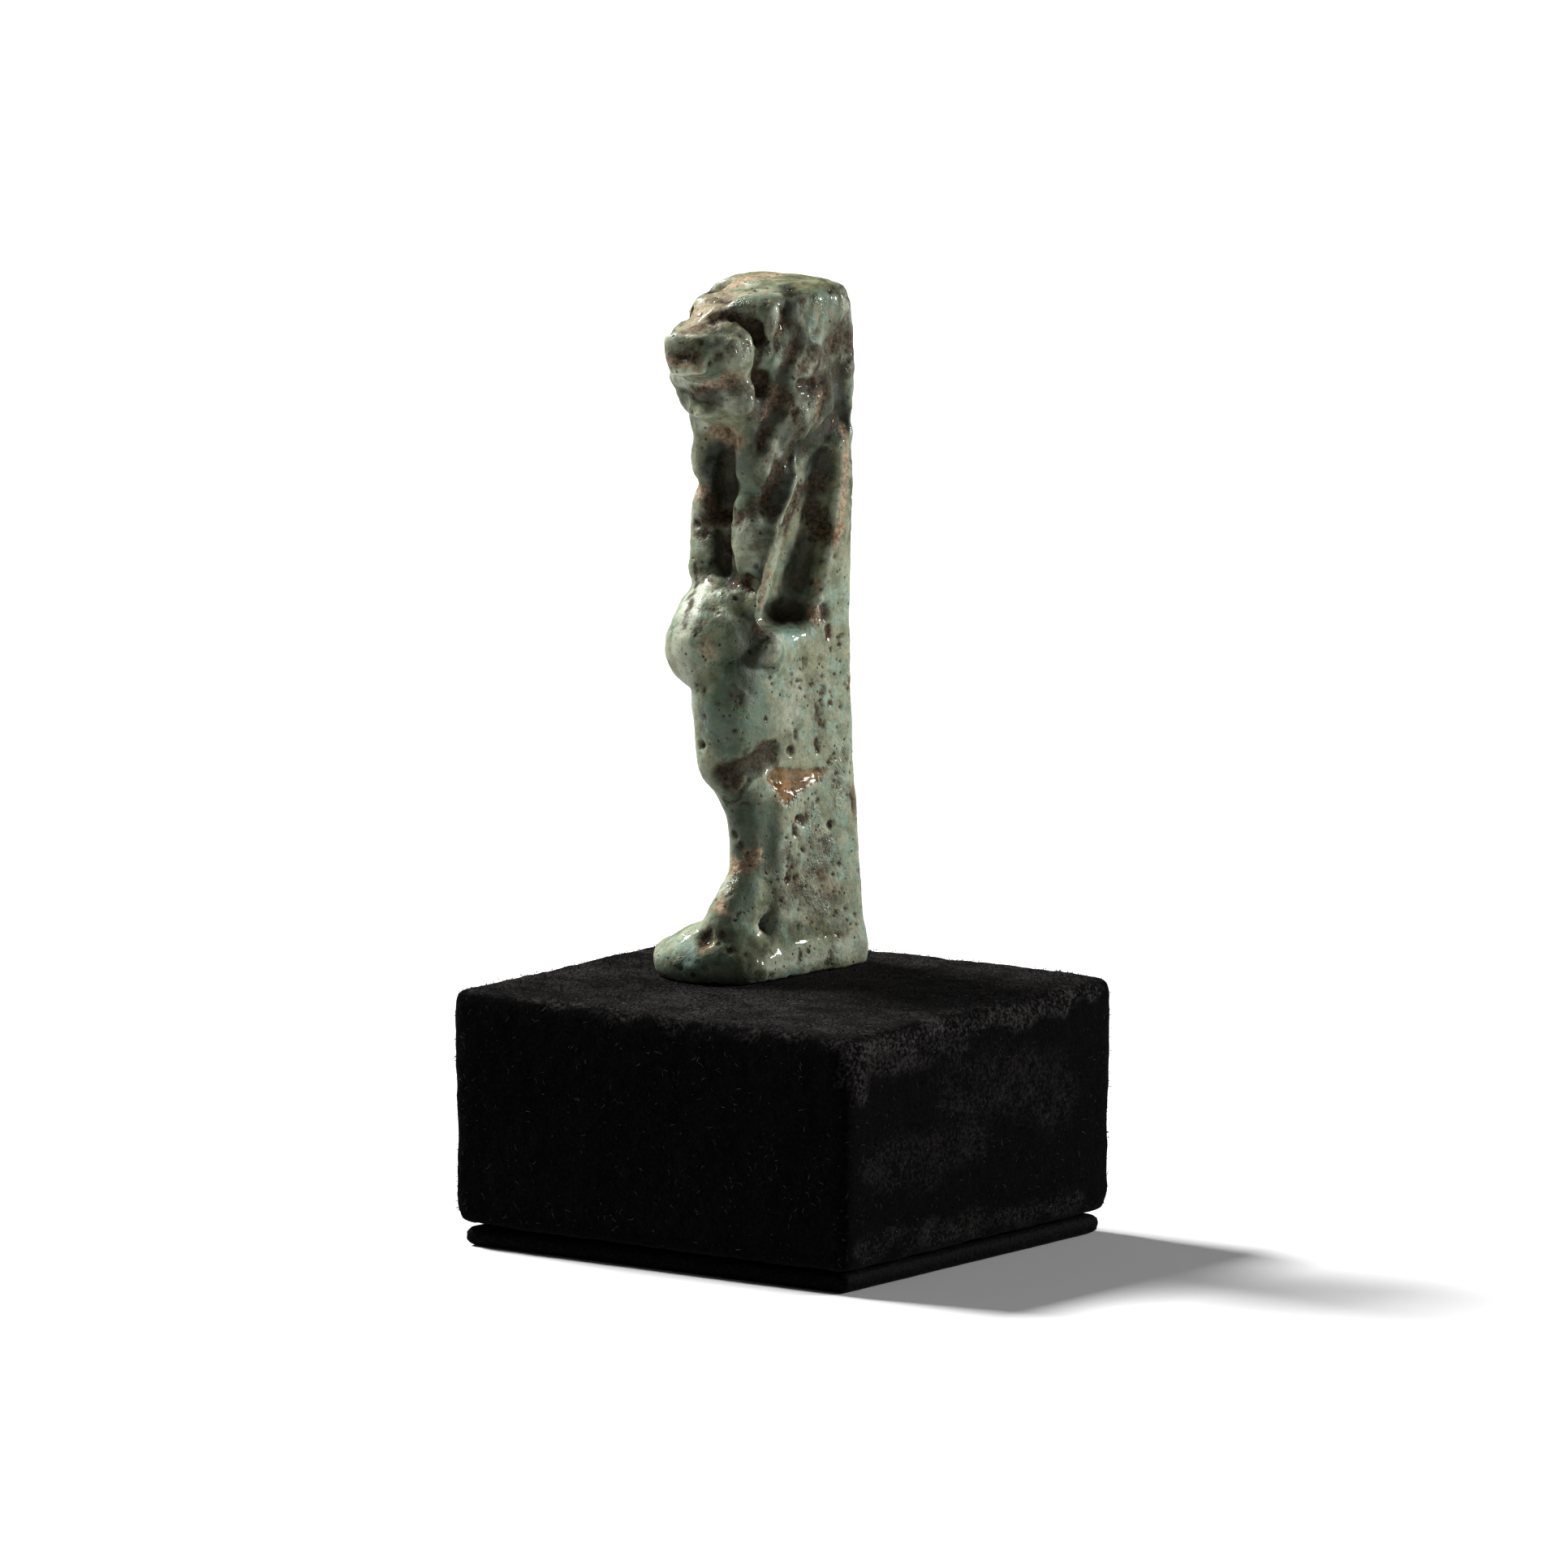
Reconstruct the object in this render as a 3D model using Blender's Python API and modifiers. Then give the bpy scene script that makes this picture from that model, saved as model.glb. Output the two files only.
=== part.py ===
"""A faience amulet of Taweret on a velvet-covered plinth with a thin base pad.

Metres, +Z up. The figure looks along -Y and the plinth stands on Z = 0.
The figure's free form is drawn in shares: 386 shares are its height.
"""
import math

import bmesh
import bpy
from mathutils import Matrix, Vector

AMULET_HEIGHT = 0.0386
AMULET_TURN = math.radians(-3.8)

BLOCK_WIDTH = 0.027
BLOCK_DEPTH = 0.025
BLOCK_HEIGHT = 0.0127
BLOCK_EDGE_RADIUS = 0.00088

# Where the figure stands, in shares of the block from its centre.
AMULET_ACROSS = -0.147
AMULET_BEHIND = 0.127

PAD_INSET = 0.00045
PAD_THICKNESS = 0.0011
PAD_EDGE_RADIUS = 0.0004

GAP = 0.0003

EDGE_SHARE_LIMIT = 0.45
EDGE_SEGMENTS = 4

SHARES_TALL = 386.0
SHARE = AMULET_HEIGHT / SHARES_TALL
VOXEL = 2.1 * SHARE
CUTTER_VOXEL = 1.6 * SHARE
SOFTEN_STEPS = 3
FINAL_RATIO = 0.115
ARC_STEPS = 5
ROUND_SEGMENTS = 24
ROUND_RINGS = 14

PAD_BOTTOM = 0.0
BLOCK_BOTTOM = PAD_BOTTOM + PAD_THICKNESS + GAP
AMULET_BOTTOM = BLOCK_BOTTOM + BLOCK_HEIGHT + GAP
AMULET_OFFSET_X = AMULET_ACROSS * BLOCK_WIDTH
AMULET_OFFSET_Y = AMULET_BEHIND * BLOCK_DEPTH

# Back pillar from the base up: height, half width, front and back, in shares.
PILLAR = [
    (-6.0, 37.0, 21.0, 49.5),
    (3.0, 38.4, 21.0, 51.6),
    (10.0, 38.8, 21.0, 52.6),
    (17.0, 38.4, 21.0, 52.0),
    (25.0, 36.8, 21.0, 50.4),
    (45.0, 36.4, 21.0, 48.4),
    (75.0, 36.2, 21.0, 46.0),
    (105.0, 35.9, 20.0, 43.6),
    (135.0, 35.5, 15.0, 41.2),
    (165.0, 35.3, 8.0, 40.2),
    (195.0, 35.3, 8.0, 40.2),
    (225.0, 35.6, 13.0, 40.8),
    (260.0, 36.0, 23.0, 41.4),
    (300.0, 36.1, 26.0, 41.8),
    (362.0, 36.1, 20.0, 41.8),
]

# Wig and crown of the head: height, half width, front and back.
WIG = [
    (286.0, 31.0, -10.0, 40.0),
    (296.0, 34.4, -17.0, 41.4),
    (312.0, 35.8, -23.0, 41.9),
    (340.0, 36.0, -26.0, 42.0),
    (360.0, 35.8, -26.0, 42.0),
    (371.0, 35.6, -24.0, 42.0),
    (378.0, 34.6, -18.0, 41.0),
    (383.0, 31.0, -11.0, 38.0),
    (386.0, 25.0, -3.0, 32.0),
]

# Face block between the cheeks: height, half width, front and back.
FACE = [
    (308.0, 11.0, -36.0, 0.0),
    (313.0, 17.0, -41.0, 0.0),
    (324.0, 20.0, -45.0, 0.0),
    (342.0, 21.5, -46.5, 0.0),
    (356.0, 21.0, -46.5, 0.0),
    (366.0, 18.5, -45.5, 0.0),
    (374.0, 15.5, -41.5, 0.0),
    (379.0, 12.0, -34.0, 0.0),
    (382.0, 8.0, -22.0, 0.0),
]

# Trunk behind the breasts: height, half width, front and back.
TRUNK = [
    (118.0, 30.0, 0.0, 22.0),
    (135.0, 33.0, -10.0, 22.0),
    (160.0, 34.6, -20.0, 22.0),
    (190.0, 34.4, -28.0, 20.0),
    (207.0, 32.5, -28.0, 20.0),
    (222.0, 31.5, -25.0, 20.0),
    (250.0, 31.5, -22.0, 20.0),
    (280.0, 32.0, -18.0, 22.0),
    (300.0, 31.0, -14.0, 24.0),
]

# Web between the forward leg and the pillar: height, inner side, front and back.
WEB = [
    (-6.0, 2.0, -30.0, 24.0),
    (60.0, 2.0, -25.0, 24.0),
    (115.0, 2.0, -24.0, 24.0),
    (170.0, 2.0, -28.0, 20.0),
    (191.0, 2.0, -32.0, 20.0),
    (197.0, 2.0, -30.0, 16.0),
]
WEB_SIDE = 35.2

# Forward thigh: height, inner side, outer side, front and back.
THIGH = [
    (104.0, 8.0, 28.0, -51.0, -20.0),
    (110.0, 3.0, 33.0, -58.5, -14.0),
    (119.0, -1.0, 35.0, -61.5, -10.0),
    (136.0, -2.0, 35.4, -62.0, -10.0),
    (156.0, -3.0, 35.4, -64.0, -10.0),
    (176.0, -3.0, 34.6, -61.0, -10.0),
    (190.0, 0.0, 32.0, -52.0, -10.0),
]

# Base under the feet: height and how far its sides are drawn in.
BASE_RINGS = [(-6.0, 6.0), (0.0, 4.6), (3.0, 2.0), (8.0, 0.2), (13.0, 0.0), (17.0, 2.2), (20.0, 6.0)]
BASE_SIDE = 38.8
BASE_FRONT_CENTRE = -36.0
BASE_FRONT_LENGTH = 33.0
BASE_BACK = 52.6

# Opening between arm and pillar, seen from the side: depth from front, height.
RECESS_OUTLINE = [
    (5.0, 294.0),
    (-5.0, 277.0),
    (-16.0, 259.0),
    (-27.0, 239.0),
    (-34.0, 219.0),
    (-36.0, 204.0),
    (-31.0, 197.0),
    (-12.0, 195.0),
    (2.0, 200.0),
    (13.0, 216.0),
    (18.0, 234.0),
    (22.0, 252.0),
    (26.0, 270.0),
    (27.0, 292.0),
]
RECESS_FLOOR = 15.0
RECESS_LEAN = 12.0
RECESS_REACH = 44.0

# Left arm down to the hip: x, y, height and radius.
ARM = [
    (25.6, 2.0, 294.0, 10.0),
    (26.0, -10.0, 270.0, 9.6),
    (26.4, -22.0, 244.0, 9.0),
    (26.2, -28.0, 222.0, 8.8),
    (26.0, -30.0, 203.0, 9.0),
]
RIGHT_ARM_BACK = 16.0

# Corner radii, in shares; pairs give the back corners first.
PILLAR_BEND = 3.0
WIG_BACK_BEND = 7.0
WIG_FRONT_BEND = 20.0
FACE_BEND = 11.0
TRUNK_BEND = 13.0
THIGH_BENDS = (6.0, 14.0)
WEB_BENDS = (4.0, 4.0)
MUZZLE_EDGE = 7.0

# The underside is trimmed flat by a wide box below the figure.
TRIM_HALF_WIDTH = 90.0
TRIM_HALF_DEPTH = 30.0
TRIM_EDGE = 2.0


def clear_scene():
    """Start from nothing, whatever is open."""
    for item in list(bpy.data.objects):
        bpy.data.objects.remove(item, do_unlink=True)
    for group in list(bpy.data.collections):
        bpy.data.collections.remove(group)
    for mesh in list(bpy.data.meshes):
        bpy.data.meshes.remove(mesh)
    for material in list(bpy.data.materials):
        bpy.data.materials.remove(material)


def new_collection(name):
    group = bpy.data.collections.new(name)
    bpy.context.scene.collection.children.link(group)
    return group


def new_material(name, colour, roughness):
    material = bpy.data.materials.new(name)
    material.use_nodes = True
    shader = material.node_tree.nodes["Principled BSDF"]
    shader.inputs["Base Color"].default_value = (*colour, 1.0)
    shader.inputs["Roughness"].default_value = roughness
    return material


def add_object(name, form, group, material=None):
    mesh = bpy.data.meshes.new(name)
    bmesh.ops.recalc_face_normals(form, faces=form.faces)
    form.to_mesh(mesh)
    form.free()
    item = bpy.data.objects.new(name, mesh)
    group.objects.link(item)
    if material is not None:
        mesh.materials.append(material)
    return item


def ball(form, centre, radii, below=None):
    """Add an ellipsoid; below gives its lower half another height."""
    made = bmesh.ops.create_uvsphere(
        form, u_segments=ROUND_SEGMENTS, v_segments=ROUND_RINGS, radius=1.0
    )
    for vert in made["verts"]:
        down = radii[2] if below is None or vert.co.z > 0.0 else below
        vert.co.x = (centre[0] + vert.co.x * radii[0]) * SHARE
        vert.co.y = (centre[1] + vert.co.y * radii[1]) * SHARE
        vert.co.z = (centre[2] + vert.co.z * down) * SHARE


def limb(form, points):
    """Add a rounded limb through points given as x, y, z and radius."""
    for point in points:
        ball(form, point[:3], (point[3],) * 3)
    for start, end in zip(points, points[1:]):
        first = Vector(start[:3])
        along = Vector(end[:3]) - first
        turn = Vector((0.0, 0.0, 1.0)).rotation_difference(along).to_matrix().to_4x4()
        middle = Matrix.Translation((first + along * 0.5) * SHARE)
        bmesh.ops.create_cone(
            form,
            cap_ends=True,
            segments=ROUND_SEGMENTS,
            radius1=start[3] * SHARE,
            radius2=end[3] * SHARE,
            depth=along.length * SHARE,
            matrix=middle @ turn,
        )


def rounded_ring(left, right, front, back, bends, height):
    """Points of a rectangle with rounded back and front corners, from above."""
    behind, before = bends
    corners = [
        (right - behind, back - behind, 0.0, behind),
        (left + behind, back - behind, 90.0, behind),
        (left + before, front + before, 180.0, before),
        (right - before, front + before, 270.0, before),
    ]
    ring = []
    for x, y, start, bend in corners:
        for step in range(ARC_STEPS):
            angle = math.radians(start + 90.0 * step / (ARC_STEPS - 1))
            point = (x + bend * math.cos(angle), y + bend * math.sin(angle), height)
            ring.append(Vector(point) * SHARE)
    return ring


def loft(form, rings):
    """Skin a stack of rings of equal count and cap both ends."""
    rows = [[form.verts.new(point) for point in ring] for ring in rings]
    for low, high in zip(rows, rows[1:]):
        count = len(low)
        for index in range(count):
            after = (index + 1) % count
            form.faces.new((low[index], low[after], high[after], high[index]))
    form.faces.new(list(reversed(rows[0])))
    form.faces.new(rows[-1])


def column(form, sections, behind, before):
    """Loft a stack of centred rounded rectangles."""
    rings = []
    for height, side, front, back in sections:
        room = min(side * 0.9, (back - front) * 0.45)
        bends = (min(behind, room), min(before, room))
        rings.append(rounded_ring(-side, side, front, back, bends, height))
    loft(form, rings)


def box(form, centre, half, bevel):
    """Add a box with rounded edges."""
    made = bmesh.ops.create_cube(form, size=2.0)
    for vert in made["verts"]:
        for axis in range(3):
            vert.co[axis] = (centre[axis] + vert.co[axis] * half[axis]) * SHARE
    edges = {edge for vert in made["verts"] for edge in vert.link_edges}
    bmesh.ops.bevel(
        form,
        geom=list(edges),
        offset=bevel * SHARE,
        segments=3,
        profile=0.5,
        affect="EDGES",
    )


def ball_pair(form, centre, radii):
    """The same ball on the figure's left and right."""
    for side in (1.0, -1.0):
        ball(form, (centre[0] * side, centre[1], centre[2]), radii)


def limb_pair(form, points):
    """The same limb on the figure's left and right."""
    for side in (1.0, -1.0):
        limb(form, [(x * side, y, z, radius) for x, y, z, radius in points])


def build_head(form):
    column(form, WIG, WIG_BACK_BEND, WIG_FRONT_BEND)
    column(form, FACE, FACE_BEND, FACE_BEND)
    muzzle = (0.0, -53.0, 351.0)
    muzzle_half = (15.0, 16.0, 12.6)
    box(form, muzzle, muzzle_half, MUZZLE_EDGE)
    bridge = [(0.0, -50.0, 358.5, 8.0), (0.0, -37.0, 368.5, 9.5)]
    limb(form, bridge)
    cheek = (15.0, -40.0, 354.0)
    ball_pair(form, cheek, (12.0, 13.5, 16.5))
    chin = (0.0, -42.0, 324.0)
    ball(form, chin, (15.0, 15.5, 11.5))
    jowl = (14.0, -36.0, 327.0)
    ball_pair(form, jowl, (13.5, 12.0, 14.0))
    brow = [(7.0, -36.0, 371.5, 5.5), (15.5, -27.0, 374.5, 6.0), (23.0, -12.0, 375.0, 8.0)]
    limb_pair(form, brow)
    ear = [(28.0, -22.0, 372.0, 5.5), (30.0, -26.0, 360.0, 4.5)]
    limb_pair(form, ear)


def build_trunk(form):
    column(form, TRUNK, TRUNK_BEND, TRUNK_BEND)
    belly = (0.0, -20.0, 185.0)
    ball(form, belly, (34.4, 46.5, 41.0), below=30.0)
    lappet = [(15.6, -21.6, 318.0, 11.5), (15.8, -21.8, 283.0, 12.0)]
    limb_pair(form, lappet)
    breast = [(15.0, -23.0, 263.0, 11.2), (15.0, -24.0, 240.0, 11.8), (15.0, -26.0, 226.0, 12.4)]
    limb_pair(form, breast)
    limb(form, ARM)
    limb(form, [(-x, y + RIGHT_ARM_BACK, z, radius) for x, y, z, radius in ARM])
    left_hand = (30.0, -28.0, 184.0)
    ball(form, left_hand, (11.0, 10.0, 13.0))
    right_hand = (-27.0, -18.0, 184.0)
    ball(form, right_hand, (10.0, 9.6, 12.0))


def build_left_leg(form):
    """The forward leg with its foot, and the web that ties it to the pillar."""
    rings = []
    for height, inner, outer, front, back in THIGH:
        rings.append(rounded_ring(inner, outer, front, back, THIGH_BENDS, height))
    loft(form, rings)
    hip = (13.0, -25.0, 165.0)
    ball(form, hip, (22.0, 37.5, 32.0))
    shin = [(18.0, -37.0, 113.0, 17.0), (18.8, -30.0, 94.0, 13.4), (19.2, -29.0, 62.0, 12.0)]
    limb(form, shin)
    instep = [(18.8, -33.5, 50.0, 13.4), (15.0, -43.0, 33.0, 14.4)]
    limb(form, instep)
    toes = (3.0, -35.0, 10.0)
    ball(form, toes, (33.0, 34.0, 23.0))
    rings = []
    for height, inner, front, back in WEB:
        rings.append(rounded_ring(inner, WEB_SIDE, front, back, WEB_BENDS, height))
    loft(form, rings)


def build_right_leg(form):
    """The leg that stands back against the pillar."""
    thigh = [(-16.0, -6.0, 170.0, 18.0), (-16.2, -4.0, 124.0, 17.6)]
    limb(form, thigh)
    shin = [(-16.4, 6.0, 118.0, 16.0), (-16.4, 17.0, 84.0, 14.0), (-16.4, 17.0, 50.0, 13.4)]
    limb(form, shin)
    foot = [(-16.4, 14.0, 34.0, 14.0), (-16.4, -12.0, 22.0, 12.6)]
    limb(form, foot)


def base_ring(height, inset):
    """Plan of the base: square behind and round in front."""
    side = BASE_SIDE - inset
    back = BASE_BACK - inset
    ring = [Vector((side, back, height)), Vector((-side, back, height))]
    steps = 4 * ARC_STEPS
    for step in range(steps + 1):
        angle = math.pi * step / steps
        x = -side * math.cos(angle)
        y = BASE_FRONT_CENTRE - (BASE_FRONT_LENGTH - inset) * math.sin(angle)
        ring.append(Vector((x, y, height)))
    return [point * SHARE for point in ring]


def build_solid():
    """All the raised forms of the figure, still as separate closed shells."""
    form = bmesh.new()
    column(form, PILLAR, PILLAR_BEND, PILLAR_BEND)
    loft(form, [base_ring(height, inset) for height, inset in BASE_RINGS])
    build_left_leg(form)
    build_right_leg(form)
    build_trunk(form)
    build_head(form)
    return form


def recess(form, side):
    """Cutter for the opening between one arm and the pillar."""
    low_z = min(point[1] for point in RECESS_OUTLINE)
    high_z = max(point[1] for point in RECESS_OUTLINE)
    inner = []
    outer = []
    for y, z in RECESS_OUTLINE:
        lean = RECESS_LEAN * (z - low_z) / (high_z - low_z)
        inner.append(Vector((side * (RECESS_FLOOR + lean), y, z)) * SHARE)
        outer.append(Vector((side * RECESS_REACH, y, z)) * SHARE)
    loft(form, [inner, outer])


def carve_face(form):
    nose_hollow = (0.0, -74.0, 354.0)
    ball(form, nose_hollow, (10.5, 9.0, 7.5))
    mouth = (0.0, -66.0, 335.5)
    ball(form, mouth, (26.0, 13.0, 3.6))
    eye = [(21.0, -49.0, 370.0, 4.6), (26.5, -39.0, 366.0, 6.2), (30.0, -32.0, 352.0, 4.6)]
    limb_pair(form, eye)
    behind_cheek = [(31.0, -31.0, 352.0, 4.4), (31.0, -34.0, 338.0, 5.6)]
    limb_pair(form, behind_cheek)
    beside_muzzle = [(20.0, -58.0, 360.0, 3.6), (20.0, -57.0, 344.0, 3.6)]
    limb_pair(form, beside_muzzle)


def carve_body(form):
    under_wig = [(39.0, 34.0, 314.0, 6.5), (39.0, 8.0, 300.0, 8.0), (39.0, -14.0, 282.0, 7.0)]
    limb_pair(form, under_wig)
    beside_lappet = [(31.0, -27.0, 314.0, 4.2), (32.0, -30.0, 288.0, 4.6), (30.0, -33.0, 268.0, 4.2)]
    limb_pair(form, beside_lappet)
    beside_breast = [(27.5, -37.0, 262.0, 4.0), (27.0, -41.0, 232.0, 4.4)]
    limb_pair(form, beside_breast)
    between_breasts = [(0.0, -38.0, 306.0, 5.0), (0.0, -37.0, 240.0, 5.4), (0.0, -42.0, 222.0, 4.4)]
    limb(form, between_breasts)
    left_knee = [(30.0, -67.0, 112.0, 5.6), (37.0, -47.0, 120.5, 6.2), (39.0, -18.0, 132.5, 6.2)]
    limb(form, left_knee)
    right_knee = [(-32.0, -26.0, 109.0, 5.0), (-38.0, -4.0, 122.0, 5.6)]
    limb(form, right_knee)
    behind_shin = [(34.5, -28.5, 100.0, 3.6), (33.5, -30.0, 70.0, 4.6), (34.5, -32.0, 42.0, 4.4)]
    limb(form, behind_shin)


def build_carving():
    """Everything that is cut out of the figure."""
    form = bmesh.new()
    for side in (1.0, -1.0):
        recess(form, side)
    carve_face(form)
    carve_body(form)
    return form


def voxel_merge(item, size):
    """Melt overlapping shells into one closed skin."""
    remesh = item.modifiers.new("merge", "REMESH")
    remesh.mode = "VOXEL"
    remesh.voxel_size = size
    remesh.use_smooth_shade = True


def soften(item, repeats):
    smooth = item.modifiers.new("soften", "SMOOTH")
    smooth.factor = 0.5
    smooth.iterations = repeats


def subtract(item, cutter):
    cut = item.modifiers.new("cut " + cutter.name, "BOOLEAN")
    cut.operation = "DIFFERENCE"
    cut.solver = "EXACT"
    cut.object = cutter


def make_cutter(name, form, group):
    cutter = add_object(name, form, group)
    cutter.display_type = "WIRE"
    cutter.hide_render = True
    return cutter


def make_amulet(group, cutters):
    faience = new_material("faience", (0.20, 0.33, 0.29), 0.32)
    figure = add_object("amulet", build_solid(), group, faience)
    carving = make_cutter("carving", build_carving(), cutters)
    voxel_merge(carving, CUTTER_VOXEL)
    ground = bmesh.new()
    trim_half = (TRIM_HALF_WIDTH, TRIM_HALF_WIDTH, TRIM_HALF_DEPTH)
    box(ground, (0.0, 0.0, -TRIM_HALF_DEPTH), trim_half, TRIM_EDGE)
    floor = make_cutter("underside", ground, cutters)
    voxel_merge(figure, VOXEL)
    soften(figure, SOFTEN_STEPS)
    subtract(figure, carving)
    voxel_merge(figure, VOXEL)
    soften(figure, SOFTEN_STEPS + 1)
    thin = figure.modifiers.new("thin", "DECIMATE")
    thin.ratio = FINAL_RATIO
    subtract(figure, floor)
    place = Matrix.Translation((AMULET_OFFSET_X, AMULET_OFFSET_Y, AMULET_BOTTOM))
    place = place @ Matrix.Rotation(AMULET_TURN, 4, "Z")
    for item in (figure, carving, floor):
        item.matrix_world = place
    return figure


def covered_block(name, width, depth, low, high, radius, group, material):
    """A box with softly rounded edges, from its bottom to its top height."""
    form = bmesh.new()
    made = bmesh.ops.create_cube(form, size=1.0)
    for vert in made["verts"]:
        vert.co.x *= width
        vert.co.y *= depth
        vert.co.z = low + (vert.co.z + 0.5) * (high - low)
    item = add_object(name, form, group, material)
    bevel = item.modifiers.new("round edges", "BEVEL")
    bevel.width = min(radius, EDGE_SHARE_LIMIT * (high - low))
    bevel.segments = EDGE_SEGMENTS
    bevel.limit_method = "ANGLE"
    for face in item.data.polygons:
        face.use_smooth = True
    return item


def build():
    clear_scene()
    parts = new_collection("taweret_amulet")
    cutters = new_collection("cutters")
    velvet = new_material("black velvet", (0.012, 0.011, 0.010), 0.9)
    pad_cloth = new_material("black pad cloth", (0.010, 0.010, 0.010), 0.8)
    make_amulet(parts, cutters)
    covered_block(
        "plinth_block",
        BLOCK_WIDTH,
        BLOCK_DEPTH,
        BLOCK_BOTTOM,
        BLOCK_BOTTOM + BLOCK_HEIGHT,
        BLOCK_EDGE_RADIUS,
        parts,
        velvet,
    )
    covered_block(
        "base_pad",
        BLOCK_WIDTH - 2.0 * PAD_INSET,
        BLOCK_DEPTH - 2.0 * PAD_INSET,
        PAD_BOTTOM,
        PAD_BOTTOM + PAD_THICKNESS,
        PAD_EDGE_RADIUS,
        parts,
        pad_cloth,
    )


build()
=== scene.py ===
import math

import bmesh
import bpy
import numpy as np
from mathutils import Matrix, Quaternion, Vector
from mathutils.bvhtree import BVHTree


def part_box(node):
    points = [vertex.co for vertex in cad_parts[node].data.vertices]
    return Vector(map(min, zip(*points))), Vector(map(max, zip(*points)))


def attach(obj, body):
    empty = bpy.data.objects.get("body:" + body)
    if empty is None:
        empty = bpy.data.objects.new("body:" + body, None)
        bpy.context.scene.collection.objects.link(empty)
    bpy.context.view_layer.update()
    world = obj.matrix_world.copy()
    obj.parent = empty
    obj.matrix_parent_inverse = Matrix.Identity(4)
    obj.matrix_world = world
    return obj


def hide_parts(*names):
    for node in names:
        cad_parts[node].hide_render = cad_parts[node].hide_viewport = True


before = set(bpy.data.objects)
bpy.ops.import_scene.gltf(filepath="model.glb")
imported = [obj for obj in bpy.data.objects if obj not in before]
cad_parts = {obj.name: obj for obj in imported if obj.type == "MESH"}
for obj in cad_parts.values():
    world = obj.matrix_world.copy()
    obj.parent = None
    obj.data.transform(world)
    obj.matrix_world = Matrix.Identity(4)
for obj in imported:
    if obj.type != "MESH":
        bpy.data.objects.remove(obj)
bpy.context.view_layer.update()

MM = 0.001
SEED = 4107

# The reference view: pixels of a square picture, turned and tilted about the object.
VIEW_PIXELS = 1932.0
VIEW_TURN = math.radians(36.2)
VIEW_TILT = math.radians(9.5)
VIEW_DISTANCE = 2.0
VIEW_LENS = 828.1
VIEW_SENSOR = 36.0
PIXEL = 0.045 * MM
FIGURE_FOOT = Vector((-3.969, 3.175, 14.4)) * MM
FIGURE_TURN = math.radians(-3.8)
RIGHT = Vector((math.cos(VIEW_TURN), math.sin(VIEW_TURN), 0.0))
BACK = Vector((
    math.sin(VIEW_TURN) * math.cos(VIEW_TILT),
    -math.cos(VIEW_TURN) * math.cos(VIEW_TILT),
    math.sin(VIEW_TILT),
))
UP = BACK.cross(RIGHT)
AIM = FIGURE_FOOT + RIGHT * 1.395 * MM + UP * 10.19 * MM
EYE = AIM + BACK * VIEW_DISTANCE

# Shares of the marks' listed heights and radii.
DEPTH_SHARE = 1.25
CUT_SPREAD = 1.6
PAINT_SPREAD = 1.6
SMALL_SPREAD = 1.3
LARGEST_SMALL_MARK = 8
MARK_STEP = 2.5
PATCH_STEP = 4
WEAR_STEP = 8
FAR_SIDE_REACH = 1.2 * MM

# Mesh cells, and steps of smoothing.
AMULET_CELL = 0.135 * MM
VELVET_CELL = 0.24 * MM
PAD_CELL = 0.17 * MM
CASTING_STEPS = 14
ROUNDED_STEPS = 70
EASED_STEPS = 30

# Sizes of the cloth parts.
EDGE_RADIUS = 0.88 * MM
PAD_HEIGHT = 1.1 * MM
RIB_SPACING = 0.46 * MM

# Counts of small things.
SCATTERED_PITS = 420
NAP_TUFTS = 15000
LINT_HAIRS = 1900
HAIR_STEPS = 3
DUST_SPECKS = 4200
THREE_CORNERS = (0.0, 2.094, 4.189)

# The stage.
FLOOR_HALF = 4.0
FLOOR_GREY = 0.62
AIR_STRENGTH = 0.07
LIT_POINT = Vector((0.0, 0.0, 0.025))
LIGHT_DISTANCE = 3.0
PICTURE_GAMMA = 0.82


# Numbers on many points at once.

def lattice(cells, seed):
    """A repeatable number from -1 to 1 for each whole-number cell."""
    mixed = cells[:, 0] * 73856093 ^ cells[:, 1] * 19349663 ^ cells[:, 2] * 83492791 ^ seed * 2654435761
    mixed = (mixed ^ (mixed >> 13)) * 1274126177 & 0xFFFFFFFF
    mixed = (mixed ^ (mixed >> 16)) & 0xFFFF
    return mixed / 32767.5 - 1.0


def noise(points, wave, seed):
    """Smooth noise from -1 to 1 with bumps about one wave across."""
    place = points / wave
    cell = np.floor(place).astype(np.int64)
    share = place - cell
    share = share * share * share * (share * (share * 6.0 - 15.0) + 10.0)
    total = np.zeros(len(points))
    for i in (0, 1):
        for j in (0, 1):
            for k in (0, 1):
                weight = np.where(i, share[:, 0], 1.0 - share[:, 0])
                weight = weight * np.where(j, share[:, 1], 1.0 - share[:, 1])
                weight = weight * np.where(k, share[:, 2], 1.0 - share[:, 2])
                total += weight * lattice(cell + np.array((i, j, k)), seed)
    return total


def layered(points, wave, seed, layers=3):
    total = np.zeros(len(points))
    size = 1.0
    for layer in range(layers):
        total += size * noise(points, wave / 2.0 ** layer, seed + layer)
        size *= 0.5
    return total


def ease(values, low, high):
    share = np.clip((values - low) / (high - low), 0.0, 1.0)
    return share * share * (3.0 - 2.0 * share)


# Meshes as arrays.

def rows_of(items, field, width, kind=float):
    flat = np.zeros(len(items) * width, kind)
    items.foreach_get(field, flat)
    return flat.reshape(-1, width)


def points_of(mesh):
    return rows_of(mesh.vertices, "co", 3)


def normals_of(mesh):
    return rows_of(mesh.vertex_normals, "vector", 3)


def edges_of(mesh):
    return rows_of(mesh.edges, "vertices", 2, np.int64)


def move_points(mesh, points):
    mesh.vertices.foreach_set("co", points.astype(np.float32).ravel())
    mesh.update()


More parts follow.
